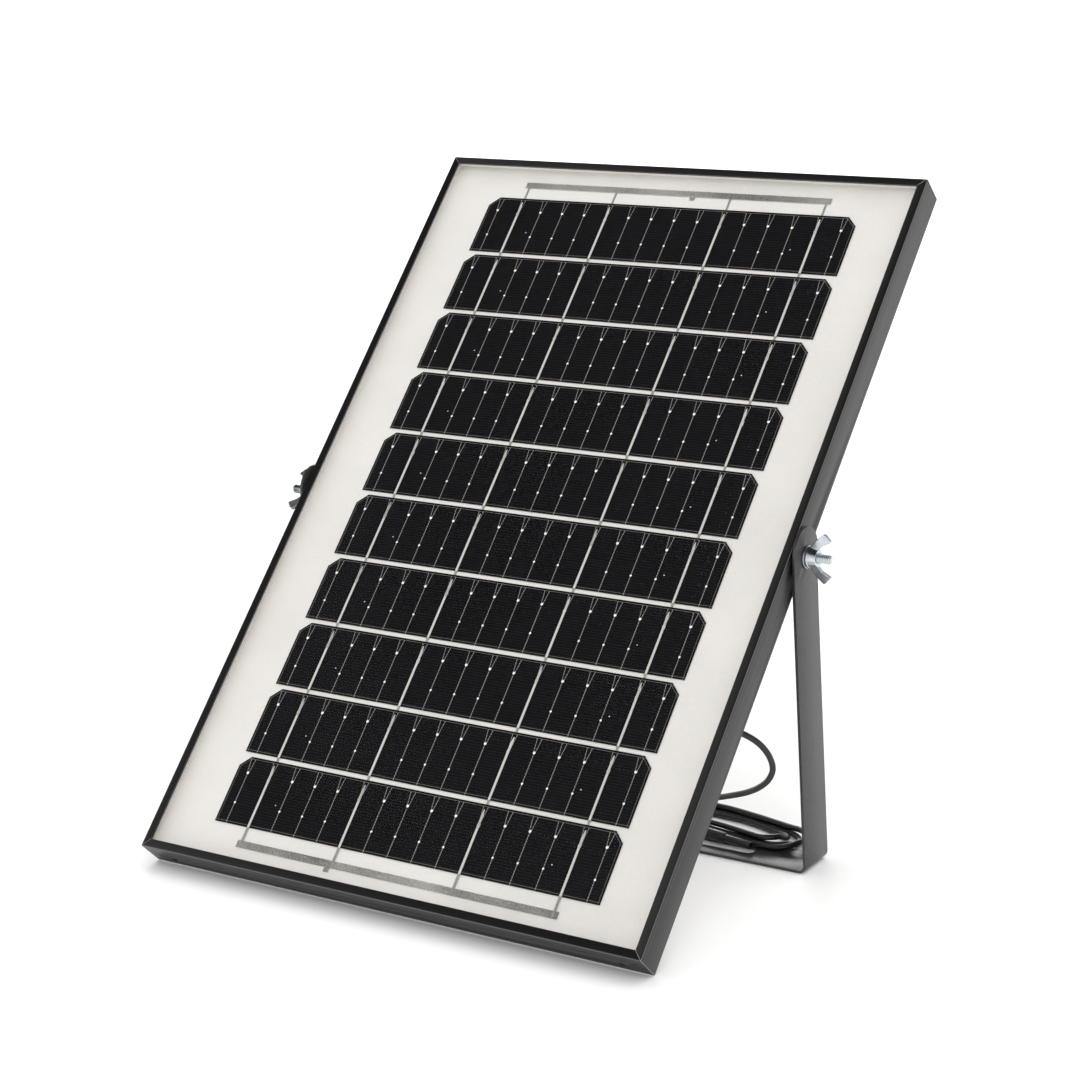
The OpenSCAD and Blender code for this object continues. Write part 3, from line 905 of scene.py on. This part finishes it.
def tube(name: str, route: Sequence[Vector], radius: float, sides: int = 12) -> bpy.types.Object:
    """A closed round tube along a route, in metres.

    Args:
        name: The piece's name.
        route: Its centreline.
        radius: Its radius.
        sides: Faces round it.

    Returns:
        The piece.
    """
    count = len(route)
    ways = [(route[min(i + 1, count - 1)] - route[max(i - 1, 0)]).normalized() for i in range(count)]
    side = ways[0].cross(Vector((0, 0, 1)))
    side = side.normalized() if side.length > 0.1 else Vector((1, 0, 0))
    verts: list[Vector] = []
    for at, way in zip(route, ways):
        side = (side - way * side.dot(way)).normalized()
        up = way.cross(side)
        for k in range(sides):
            w = 2 * math.pi * k / sides
            verts.append(at + radius * (side * math.cos(w) + up * math.sin(w)))
    faces: list[list[int]] = [list(range(sides))[::-1], [count * sides - sides + k for k in range(sides)]]
    for i in range(count - 1):
        for k in range(sides):
            m = (k + 1) % sides
            faces.append([i * sides + k, i * sides + m, (i + 1) * sides + m, (i + 1) * sides + k])
    data = bpy.data.meshes.new(name)
    data.from_pydata([tuple(v) for v in verts], [], faces)
    obj = bpy.data.objects.new(name, data)
    bpy.context.scene.collection.objects.link(obj)
    with editing(obj):
        bpy.ops.mesh.normals_make_consistent(inside=False)
    return obj


def route_length(route: Sequence[Vector]) -> float:
    """The length of a route."""
    return sum((b - a).length for a, b in zip(route, route[1:]))


def ease(value: float) -> float:
    """Smooth step from 0 to 1."""
    t = min(1.0, max(0.0, value))
    return t * t * (3 - 2 * t)


# ---------------------------------------------------------------- sub-assemblies


@dataclass
class Studio:
    """Camera, floor and lamps."""

    eye: Point = (0.5494, -0.8648, 0.4020)
    yaw_deg: float = -32.52
    pitch_deg: float = -15.32
    roll_deg: float = -1.71
    lens_mm: float = 85.68
    floor_half: float = 9.0
    air_strength: float = 1.05

    def build(self) -> None:
        """Builds the camera, the floor, the lamps and the sky."""
        self.camera()
        self.floor()
        self.lamps()

    def camera(self) -> None:
        """Makes the camera and sets it as the scene's."""
        yaw, pitch, roll = (math.radians(a) for a in (self.yaw_deg, self.pitch_deg, self.roll_deg))
        ahead = Vector((math.sin(yaw) * math.cos(pitch), math.cos(yaw) * math.cos(pitch), math.sin(pitch)))
        right = Vector((math.cos(yaw), -math.sin(yaw), 0))
        up = right.cross(ahead)
        right, up = (
            right * math.cos(roll) + up * math.sin(roll),
            up * math.cos(roll) - right * math.sin(roll),
        )
        data = bpy.data.cameras.new("camera")
        data.lens, data.sensor_width = self.lens_mm, 36.0
        data.clip_start, data.clip_end = 0.05, 50.0
        obj = bpy.data.objects.new("camera", data)
        bpy.context.scene.collection.objects.link(obj)
        turn = Matrix((right, up, -ahead)).transposed().to_4x4()
        obj.matrix_world = Matrix.Translation(self.eye) @ turn
        bpy.context.scene.camera = obj

    def floor(self) -> None:
        """Makes the pale floor."""
        clear_selection()
        bpy.ops.mesh.primitive_plane_add(size=2 * self.floor_half, location=(0, 0, -0.0002))
        floor = bpy.context.object
        floor.name = "studio_floor"
        s = Shader("pale_paper")
        fibre = s.noise(s.add("ShaderNodeTexCoord", out="Object"), 6.0, 2.0)
        colour = s.ramp(fibre, [(0.3, "#fbfbfb"), (0.7, "#fdfdfc")])
        floor.data.materials.append(
            s.close(s.add("ShaderNodeBsdfPrincipled", {"Base Color": colour, "Roughness": 0.95,
                                                       "Specular IOR Level": 0.1}))
        )

    def lamps(self) -> None:
        """Makes the soft lamps and the pale surroundings."""
        # light comes evenly from a white tent; shiny parts see its panels and the gaps between them
        s = Shader("studio_air", sky=True)
        way = s.add("ShaderNodeTexCoord", out="Generated")
        height = s.add("ShaderNodeSeparateXYZ", {0: way}, 2)
        bands = s.ramp(height, [(0.0, "#ffffff"), (0.36, "#ffffff"), (0.48, "#6c6e70"),
                                (0.6, "#f4f4f4"), (0.7, "#161617")])
        seen = s.add("ShaderNodeLightPath", out="Is Glossy Ray")
        colour = s.mix(seen, "#ffffff", bands)
        bpy.context.scene.world = s.close(
            s.add("ShaderNodeBackground", {"Color": colour, "Strength": self.air_strength})
        )
        for name, place, size, power, shown in (
            ("key_soft", (1.4, -2.0, 2.6), 1.6, 14, False),
            ("top_soft", (0.3, 0.8, 3.2), 2.2, 10, False),
            ("rim_soft", (-1.6, 2.6, 1.0), 1.2, 26, True),
        ):
            data = bpy.data.lights.new(name, "AREA")
            data.shape, data.size, data.energy = "SQUARE", size, power
            obj = bpy.data.objects.new(name, data)
            bpy.context.scene.collection.objects.link(obj)
            aim = (Vector((0, 0, 0.1)) - Vector(place)).to_track_quat("-Z", "Y")
            obj.matrix_world = Matrix.Translation(place) @ aim.to_matrix().to_4x4()
            obj.visible_glossy = shown
        view = bpy.context.scene.view_settings
        view.view_transform, view.look = "Standard", "None"
        view.exposure = 0.0


@dataclass
class PanelFrame:
    """The four mitred rails with the keys in their corners."""

    rails: tuple[str, ...] = ("frame_top", "frame_bottom", "frame_left", "frame_right")
    edge_mm: float = 0.14

    def build(self, looks: Finishes) -> None:
        """Rounds the rails' edges and finishes them.

        Args:
            looks: The finishes.
        """
        for rail in self.rails:
            piece = softened(rail, f"{rail}_rail", self.edge_mm, 2)
            finish_mesh(piece, looks.anodised, 40)
            ride(piece, Body.PANEL, "frame_black", rail)
        paint("corner_keys", looks.mill)
        paint("edge_sealant", looks.silicone)


@dataclass
class Laminate:
    """Glass, cells, ribbons and backsheet."""

    width: float = 231.0
    height: float = 348.0
    front: float = 1.3
    back: float = 4.1
    cells: CellPrint = field(default_factory=CellPrint)
    bus_w: float = 3.0
    bus_off: float = 7.425
    bus_past: float = 2.0
    bus_front: float = 4.24
    bus_back: float = 4.38
    lap_half: float = 7.0
    lap_lift: float = 0.13
    crinkle: float = 0.12
    cut_every: float = 0.9
    ribbon_front: float = 4.1
    joints: tuple[tuple[float, float], ...] = ((3.4, 0.52), (1.5, 0.68))  # half length and half width

    def tab_x(self, number: int) -> float:
        """The place of a busbar across the panel, mm."""
        return (number - (self.cells.busbars + 1) / 2) * self.cells.width / self.cells.busbars

    def strip_u(self, number: int) -> float:
        """The lower edge of a strip, counted from the top, mm."""
        return self.cells.start + (self.cells.strips - number) * (self.cells.height + self.cells.gap)

    def build(self, looks: Finishes) -> None:
        """Builds the laminate's visible pieces and finishes its nodes.

        Args:
            looks: The finishes.
        """
        half = self.width / 2
        low = (PLANE.height - self.height) / 2
        glass = block("front_glass", (-half, self.front, low), (half, self.back, low + self.height), 0.25, 2)
        settle(glass, PLANE.matrix())
        ride(finish_mesh(glass, looks.glass, 30), Body.PANEL, "glass", "solar_glass", "front_encapsulant")
        for number in range(1, self.cells.strips + 1):
            paint(f"cell_{number:02d}", looks.cell)
        paint("cell_ribbons", looks.ribbon)
        paint("string_leads", looks.tinned)
        paint("back_encapsulant", looks.white_eva)
        paint("backsheet", looks.backsheet)
        self.solder(looks)
        top = self.cells.start + (self.cells.strips - 1) * (self.cells.height + self.cells.gap)
        top += self.cells.height + self.bus_off
        self.bus("top_bus_strip", "top_bus_ribbon", top, 0.15, looks)
        self.bus("bottom_bus_strip", "bottom_bus_ribbon", self.cells.start - self.bus_off, -0.38, looks)

    def solder(self, looks: Finishes) -> None:
        """Lays a lumpy solder joint at the head of each ribbon.

        Args:
            looks: The finishes.
        """
        parts: list[bpy.types.Object] = []
        clear_selection()
        bpy.ops.mesh.primitive_uv_sphere_add(segments=10, ring_count=8, radius=1.0)
        model = bpy.context.object
        for vertex in model.data.vertices:
            lump = noise.noise(vertex.co * 1.7 + Vector((3, 1, 7))) * 0.3
            vertex.co *= 1 + lump
        settle(model)
        for number in range(1, self.cells.strips + 1):
            for tab in self.cells.tabs:
                for part, (half_long, half_wide) in enumerate(self.joints):
                    blob = model.copy()
                    blob.data = model.data.copy()
                    bpy.context.scene.collection.objects.link(blob)
                    wander = noise.noise(Vector((number * 1.3, tab * 0.7, part * 2.1)))
                    long = half_long + 0.6 * wander
                    wide = half_wide + 0.1 * wander
                    u = self.strip_u(number) + self.cells.height - 5.6 - 3.2 * part - 0.8 * wander
                    local = (
                        Matrix.Translation(
                            ((self.tab_x(tab) + 0.22 * wander) * MM, (self.ribbon_front + 0.02) * MM, u * MM)
                        )
                        @ Matrix.Rotation(0.05 * wander, 4, "Y")
                        @ Matrix.Diagonal((wide * MM, 0.16 * MM, long * MM, 1))
                    )
                    parts.append(settle(blob, PLANE.matrix() @ local))
        bpy.data.objects.remove(model)
        piece = joined("solder_joints", parts)
        ride(finish_mesh(piece, looks.solder, 60), Body.PANEL, "tinned_copper")

    def bus(self, name: str, node: str, u: float, overlap: float, looks: Finishes) -> None:
        """Makes one bus ribbon: flat, crinkled and lapped where two lengths are soldered together.

        Args:
            name: The piece's name.
            node: The CAD node it stands for.
            u: Its middle above the panel's lower edge, mm.
            overlap: Where the lap is, as a share of the half width.
            looks: The finishes.
        """
        half = (self.tab_x(self.cells.tabs[-1]) - self.tab_x(self.cells.tabs[0])) / 2 + self.bus_past
        parts: list[bpy.types.Object] = []
        for left, right, lift in (
            (-half, half, 0.0),
            (overlap * half - self.lap_half, overlap * half + self.lap_half, self.lap_lift),
        ):
            strip = block(f"{name}_part", (left, self.bus_front - lift, u - self.bus_w / 2 + lift),
                          (right, self.bus_back - lift, u + self.bus_w / 2 - lift), 0.04, 1)
            wide = max(1, int((right - left) / self.cut_every))
            with editing(strip):
                bpy.ops.mesh.subdivide(number_cuts=9)
                bpy.ops.mesh.bisect(plane_co=(0, 0, u * MM), plane_no=(0, 0, 1))
                for i in range(1, wide):
                    bpy.ops.mesh.select_all(action="SELECT")
                    cut = left + (right - left) * i / wide
                    bpy.ops.mesh.bisect(plane_co=(cut * MM, 0, 0), plane_no=(1, 0, 0))
            for vertex in strip.data.vertices:
                at = vertex.co * 1000
                ripple = noise.noise(Vector((at.x * 0.55, 5 * lift, at.z * 0.4)))
                vertex.co.y += self.crinkle * ripple * MM
                vertex.co.z += self.crinkle * noise.noise(Vector((at.x * 0.11, 9.0, lift))) * MM
            parts.append(strip)
        fold = overlap * half
        lead = block(f"{name}_part", (fold - 2.6, 4.3, u - 3.4), (fold - 0.2, 4.42, u - 0.8), 0.04, 1)
        parts.append(lead)
        piece = settle(joined(name, parts), PLANE.matrix())
        ride(finish_mesh(piece, looks.tinned, 25), Body.PANEL, "tinned_copper", node)


@dataclass
class JunctionBox:
    """The moulded box on the back with its lid, screws and cord boot."""

    width: float = 58.0
    height: float = 44.0
    u: float = 95.0
    base: float = 5.15
    depth: float = 14.0
    lid_top: float = 22.15
    boot_l: float = 12.0

    def build(self, looks: Finishes) -> None:
        """Builds the box's pieces and finishes its nodes.

        Args:
            looks: The finishes.
        """
        body = softened("junction_box", "box_body", 0.8, 3)
        ride(finish_mesh(body, looks.abs_black, 35), Body.PANEL, "box_plastic", "junction_box")
        lid = softened("junction_box_lid", "box_lid", 0.6, 3)
        ride(finish_mesh(lid, looks.abs_black, 35), Body.PANEL, "box_plastic", "junction_box_lid")
        self.lid_panel(looks)
        self.bead(looks)
        self.boot(looks)
        for node, look in (
            ("lid_gasket", looks.gasket),
            ("lid_screws", looks.zinc),
            ("terminals", looks.brass),
            ("blocking_diode", looks.diode),
            ("core_wires", looks.core),
        ):
            paint(node, look)

    def lid_panel(self, looks: Finishes) -> None:
        """Adds the lid's raised panel with two stiffening ribs.

        Args:
            looks: The finishes.
        """
        w, h = self.width / 2 - 9, self.height / 2 - 9
        top = self.lid_top
        plate = block("lid_part", (-w, top - 0.4, self.u - h), (w, top + 0.7, self.u + h), 0.5, 3)
        hold(plate)
        for face in plate.data.polygons:
            face.select = face.normal.y > 0.99 and face.area > 1e-4
        bpy.ops.object.mode_set(mode="EDIT")
        bpy.ops.mesh.select_mode(type="FACE")
        bpy.ops.mesh.inset(thickness=2.2 * MM, depth=0)
        bpy.ops.mesh.inset(thickness=0.3 * MM, depth=-0.5 * MM)
        bpy.ops.object.mode_set(mode="OBJECT")
        ribs = [
            block("lid_part", (5 - w, top, at - 0.6), (w - 5, top + 0.75, at + 0.6), 0.25, 2)
            for at in (self.u - 5, self.u + 5)
        ]
        piece = settle(joined("lid_raised_panel", [plate, *ribs]), PLANE.matrix())
        ride(finish_mesh(piece, looks.abs_black, 35), Body.PANEL, "box_plastic")

    def bead(self, looks: Finishes) -> None:
        """Adds the sealant that squeezed out round the foot of the box.

        Args:
            looks: The finishes.
        """
        w, h, round_r = self.width / 2 + 0.3, self.height / 2 + 0.3, 2.0
        route: list[Vector] = []
        for cx, cz, start in (
            (w - round_r, h - round_r, 0),
            (-w + round_r, h - round_r, 90),
            (-w + round_r, -h + round_r, 180),
            (w - round_r, -h + round_r, 270),
        ):
            for step in range(7):
                a = math.radians(start + 15 * step)
                route.append(Vector(((cx + round_r * math.cos(a)) * MM, (self.base + 0.35) * MM,
                                     (self.u + cz + round_r * math.sin(a)) * MM)))
        route.append(route[0])
        even = smooth_route(route, 0.0012)
        piece = tube("box_sealant_bead", even, 0.9 * MM, 8)
        for i, vertex in enumerate(piece.data.vertices):
            lump = noise.noise(vertex.co * 260)
            vertex.co += (vertex.co - even[min(i // 8, len(even) - 1)]) * 0.35 * lump
        settle(piece, PLANE.matrix())
        ride(finish_mesh(piece, looks.silicone, 60), Body.PANEL, "sealant")

    def boot(self, looks: Finishes) -> None:
        """Makes the ribbed boot that the cord leaves through.

        Args:
            looks: The finishes.
        """
        stations = [(-3.7, 3.1), (-2.3, 3.1), (-2.2, 2.15), (0, 2.15), (0.01, 3.2), (1.6, 3.2), (2.0, 2.9)]
        for i in range(5):
            z, r = 2.6 + 1.8 * i, 2.72 - 0.22 * i
            stations += [(z, r), (z + 0.12, r - 0.4), (z + 0.62, r - 0.42), (z + 0.74, r - 0.04)]
        stations += [(self.boot_l - 0.3, 1.65), (self.boot_l, 1.4)]
        boot = turned("cord_boot", stations, 28)
        exit_d = self.base + self.depth / 2
        at = PLANE.matrix() @ Vector((self.width / 2 * MM, exit_d * MM, self.u * MM))
        settle(boot, along(at, at + Vector((1, 0, 0))))
        ride(finish_mesh(boot, looks.abs_black, 30), Body.PANEL, "box_plastic", "cable_boot")


@dataclass
class Bracket:
    """The bent steel bar."""

    edge_mm: float = 0.28

    def build(self, looks: Finishes) -> None:
        """Rounds the bar's edges and finishes it.

        Args:
            looks: The finishes.
        """
        piece = softened("u_bracket", "bent_bar", self.edge_mm, 2)
        ride(finish_mesh(piece, looks.powder, 30), Body.STAND, "bracket_paint", "u_bracket")


@dataclass
class PivotHardware:
    """Bolts with real threads, washers and wing nuts."""

    bolt_d: float = 4.0
    bolt_l: float = 14.0
    pitch: float = 0.7
    head_af: float = 7.0
    head_h: float = 2.8
    start_x: float = 116.3
    thread_depth: float = 0.4
    plain_l: float = 1.2
    tip_l: float = 0.7
    voxel_mm: float = 0.15

    def build(self, looks: Finishes) -> None:
        """Builds both sides.

        Args:
            looks: The finishes.
        """
        for facing, body in ((Facing.LEFT, Body.NUT_LEFT), (Facing.RIGHT, Body.NUT_RIGHT)):
            side = facing.name.lower()
            self.bolt(side, facing, looks)
            self.nut(side, body, looks)
            washer = softened(f"wing_washer_{side}", f"flat_washer_{side}", 0.12, 2)
            ride(finish_mesh(washer, looks.zinc, 35), Body.PANEL, "zinc", f"wing_washer_{side}")
            friction = softened(f"friction_washer_{side}", f"friction_disc_{side}", 0.14, 2)
            finish_mesh(friction, looks.fibre, 35)
            ride(friction, Body.PANEL, "washer_black", f"friction_washer_{side}")

    def bolt(self, side: str, facing: Facing, looks: Finishes) -> None:
        """Makes one bolt with a helical thread.

        Args:
            side: The side's name.
            facing: Which way it points.
            looks: The finishes.
        """
        rings = int(self.bolt_l / (self.pitch / 6))
        radius = self.bolt_d / 2
        stations = [(self.bolt_l * i / rings, radius) for i in range(rings + 1)]
        shank = turned(f"bolt_{side}_part", stations, 36)
        for vertex in shank.data.vertices:
            x, y, z = vertex.co * 1000
            turn = math.atan2(y, x) / (2 * math.pi)
            phase = (z / self.pitch - turn) % 1.0
            depth = self.thread_depth * abs(2 * phase - 1) * ease((z - self.plain_l) / 0.6)
            tip = 0.6 * ease((z - self.bolt_l + self.tip_l) / self.tip_l)
            scale = (radius - 0.01 - depth - tip) / radius
            vertex.co.x *= scale
            vertex.co.y *= scale
        head = turned(f"bolt_{side}_part", [
            (-self.head_h, self.head_af / 2 * 0.93), (-self.head_h + 0.25, self.head_af / 2 * 1.08),
            (0, self.head_af / 2 * 1.12)], 6)
        piece = joined(f"threaded_bolt_{side}", [shank, head])
        at = PLANE.place(facing.value * self.start_x, PLANE.pivot_u, PLANE.pivot_d)
        settle(piece, along(at, at + Vector((facing.value, 0, 0))))
        ride(finish_mesh(piece, looks.zinc, 50), Body.PANEL, "zinc", f"pivot_bolt_{side}")

    def nut(self, side: str, body: Body, looks: Finishes) -> None:
        """Makes one wing nut, its cast corners run together.

        Args:
            side: The side's name.
            body: The body it moves with.
            looks: The finishes.
        """
        node = f"wing_nut_{side}"
        obj = bpy.data.objects.new(f"cast_wing_nut_{side}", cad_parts[node].data.copy())
        bpy.context.scene.collection.objects.link(obj)
        with editing(obj):
            bpy.ops.mesh.remove_doubles(threshold=1e-6)
        remesh = obj.modifiers.new("cast", "REMESH")
        remesh.mode, remesh.voxel_size = "VOXEL", self.voxel_mm * MM
        smooth = obj.modifiers.new("flow", "SMOOTH")
        smooth.factor, smooth.iterations = 0.6, 6
        apply_modifiers(obj)
        ride(finish_mesh(obj, looks.zinc, 70), body, "zinc", node)


@dataclass
class Cord:
    """The lead, the hank behind the bracket, the tail and the connector."""

    diameter: float = 2.5
    lead_points: tuple[Point, ...] = (
        (60, -50, 68), (72, -45, 66.8), (84, -38, 66.2), (95, -31, 65.2), (104, -25, 62), (110, -21, 57.3),
        (113, -18, 51.5), (113, -15, 45), (110, -13, 39.4), (105, -11, 34.8), (98, -8, 30.4), (90, -5, 26.7),
        (81, -1, 22.8), (71, 3, 19), (61, 7.5, 15.2), (51, 10.7, 11.5), (41, 13, 8.8), (31, 14, 7.4),
        (21, 14.3, 6.2), (12, 14.3, 5),
    )
    tail_points: tuple[Point, ...] = (
        (-72, 34, 5), (-60, 31.5, 6.3), (-48, 26.5, 6.9), (-36, 21.5, 6.9), (-24, 16.5, 6.9),
        (-12, 12.6, 6.6), (0, 10.4, 5.4), (14, 9.8, 3.4), (28, 9.5, 2.6), (42, 9.2, 2.9),
        (48, 9.1, 3.3), (54, 9, 3.5),
    )
    plug_from: Point = (54, 9, 3.5)
    plug_tip: Point = (94.6, 1.2, 3.4)
    middle_y: float = 25.5
    inner_r: float = 8.7
    outer_r: float = 11.25
    left_x: float = -84.0
    low_z: float = 1.35
    high_z: float = 3.85

    def build(self, looks: Finishes) -> None:
        """Builds the cord's pieces.

        Args:
            looks: The finishes.
        """
        self.lead(looks)
        plug = self.plug(looks)
        self.hank(looks)
        self.tie(looks)

    def lead(self, looks: Finishes) -> None:
        """Makes the stretch between the junction box and the hank.

        Args:
            looks: The finishes.
        """
        box = JunctionBox()
        start = PLANE.place(box.width / 2 + box.boot_l, box.u, box.base + box.depth / 2)
        given = [start, start + Vector((0.006, 0, 0)), *[Vector(p) * MM for p in self.lead_points]]
        route = smooth_route(given, 0.0015)
        piece = tube("supply_lead", route, self.diameter / 2 * MM, 14)
        finish_mesh(piece, looks.pvc, 60)
        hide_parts("cord_lead")
        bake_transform(piece)
        LOG.info("piece supply_lead: %.3f m", route_length(route))

    def bend(self, centre: Point, rear: float, front: float, z_from: float, z_to: float,
             right: bool, span: tuple[float, float]) -> list[Point]:
        """The points of one half turn at an end of the hank.

        Args:
            centre: Its middle x; the y and z are unused.
            rear: Radius at the rear run.
            front: Radius at the front run.
            z_from: Height at its start.
            z_to: Height at its end.
            right: True at the right end, from rear to front; False at the left, from front to rear.
            span: The shares of the turn between which the height changes.

        Returns:
            The points, in order.
        """
        out: list[Point] = []
        for i in range(13):
            share = i / 12
            a = math.radians(90 - 180 * share) if right else math.radians(270 - 180 * share)
            r = (rear + (front - rear) * ease(share)) if right else (front + (rear - front) * ease(share))
            z = z_from + (z_to - z_from) * ease((share - span[0]) / (span[1] - span[0]))
            out.append((centre[0] + r * math.cos(a), self.middle_y + r * math.sin(a), z))
        return out

    def hank_points(self) -> list[Point]:
        """Winds the hank from outside in, before it is laid against the bracket.

        Returns:
            The points of its line, in millimetres.
        """
        o, i, lo, hi = self.outer_r, self.inner_r, self.low_z, self.high_z
        left = (self.left_x, 0.0, 0.0)
        points: list[Point] = [(12, 14.3, 5), (0, self.middle_y - o, 4.4), (-14, self.middle_y - o, hi)]
        points += self.bend(left, o, o, hi, hi, False, (0, 1))
        points += self.bend((101.0, 0, 0), o, o, hi, lo, True, (0.45, 1))
        points += self.bend(left, o, o, lo, lo, False, (0, 1))
        points += self.bend((98.0, 0, 0), o, i, lo, lo, True, (0, 1))
        points += self.bend(left, i, i, lo, lo, False, (0, 1))
        points += self.bend((94.5, 0, 0), i, i, lo, hi, True, (0.05, 0.7))
        points += self.bend(left, i, i, hi, hi, False, (0, 1))
        return points + list(self.tail_points)

    def hank(self, looks: Finishes) -> None:
        """Makes the hank and its tail as one cord.

        Args:
            looks: The finishes.
        """
        given = self.hank_points()
        dense: list[Vector] = []
        for a, b in zip(given, given[1:]):
            a, b = Vector(a), Vector(b)
            parts = max(1, int((b - a).length / 16))
            dense += [a.lerp(b, k / parts) for k in range(parts)]
        dense.append(Vector(given[-1]))
        laid: list[Vector] = []
        for p in dense:
            # the right-hand end is pulled forward on to the bracket's base, the rear run the furthest
            rear = 3.5 * ease((p.x - 20) / 40) + 7.5 * ease((p.x - 70) / 32)
            front = 8.5 * ease((p.x - 60) / 34)
            share = ease((p.y - 18) / 14)
            loose = 1.0 if p.y > 12.8 else 0.0
            pull = loose * (share * rear + (1 - share) * front)
            sway = loose * noise.noise(Vector((p.x * 0.02, 3.0, 0.0))) * 0.9
            lift = 1.15 * ease((14.6 - p.y + pull) / 2) * ease((p.x - 50) / 14)
            laid.append(Vector((p.x, p.y - pull + sway, p.z + lift)))
        route = smooth_route([p * MM for p in laid], 0.0016)
        piece = tube("cord_hank", route, self.diameter / 2 * MM, 12)
        finish_mesh(piece, looks.pvc, 60)
        ride(piece, Body.STAND, "cord_pvc", "cord_coil", "cord_tail")
        LOG.info("piece cord_hank: %.3f m", route_length(route))

    def plug(self, looks: Finishes) -> list[bpy.types.Object]:
        """Makes the moulded connector.

        Args:
            looks: The finishes.

        Returns:
            Its pieces.
        """
        start, end = Vector(self.plug_from) * MM, Vector(self.plug_tip) * MM
        long = (end - start).length / MM
        boot_stations = [(0.0, 1.35), (0.3, 1.5)]
        for k in range(4):
            z, r = 0.7 + 1.8 * k, 1.55 + 0.08 * k
            boot_stations += [(z, r), (z + 0.15, r - 0.22), (z + 0.7, r - 0.22), (z + 0.85, r)]
        boot_stations += [(8.0, 1.85)]
        boot = turned("plug_relief", boot_stations, 24)
        body_stations = [(8.0, 1.7), (8.25, 2.1), (8.7, 2.2)]
        for k in range(5):
            z = 14.5 + 1.5 * k
            body_stations += [(z, 2.2), (z + 0.2, 2.0), (z + 0.6, 2.0), (z + 0.8, 2.2)]
        body_stations += [(27.2, 2.2), (27.8, 2.05), (28.0, 1.8)]
        body = turned("plug_grip", body_stations, 32)
        nose = turned("plug_nose", [
            (28.0, 1.6), (29.2, 1.6), (29.3, 1.48), (29.9, 1.48), (30.0, 1.6), (long - 0.35, 1.6),
            (long - 0.02, 1.42), (long, 1.15), (long - 0.1, 0.82), (long - 6.5, 0.8)], 32)
        pin = turned("plug_contact", [(long - 6.6, 0.72), (long - 1.4, 0.72), (long - 1.3, 0.6),
                                      (long - 1.35, 0.42), (long - 5.5, 0.4)], 24)
        placed = along(start, end)
        pieces: list[bpy.types.Object] = []
        for obj, look, slot, nodes in (
            (boot, looks.pvc, "cord_pvc", ("plug_boot",)),
            (body, looks.pvc, "cord_pvc", ("plug_body",)),
            (nose, looks.pvc, "cord_pvc", ("plug_socket",)),
            (pin, looks.zinc, "zinc", ()),
        ):
            settle(obj, placed)
            pieces.append(ride(finish_mesh(obj, look, 35), Body.STAND, slot, *nodes))
        return pieces

    def tie(self, looks: Finishes) -> None:
        """Makes the flat strap round the hank, with its buckle.

        Args:
            looks: The finishes.
        """
        strap = softened("cord_tie", "tie_part", 0.12, 2)
        at = self.middle_y - self.outer_r - 1.9
        buckle = block("tie_part", (-83.5, at - 2.4, 0.4), (-74.5, at + 0.4, 4.6), 0.6, 3)
        tongue = block("tie_part", (-81.5, at - 2.0, 4.2), (-76.5, at - 1.2, 9.5), 0.3, 2)
        piece = joined("hank_strap", [strap, buckle, tongue])
        ride(finish_mesh(piece, looks.fibre, 35), Body.STAND, "cord_pvc", "cord_tie")


def main() -> None:
    """Builds the whole scene in order."""
    logging.basicConfig(level=logging.INFO, format="%(message)s")
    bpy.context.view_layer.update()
    Studio().build()
    looks = Finishes()
    Cord().build(looks)
    PanelFrame().build(looks)
    Laminate().build(looks)
    JunctionBox().build(looks)
    Bracket().build(looks)
    PivotHardware().build(looks)
    clear_selection()


if __name__ == "__main__":
    main()
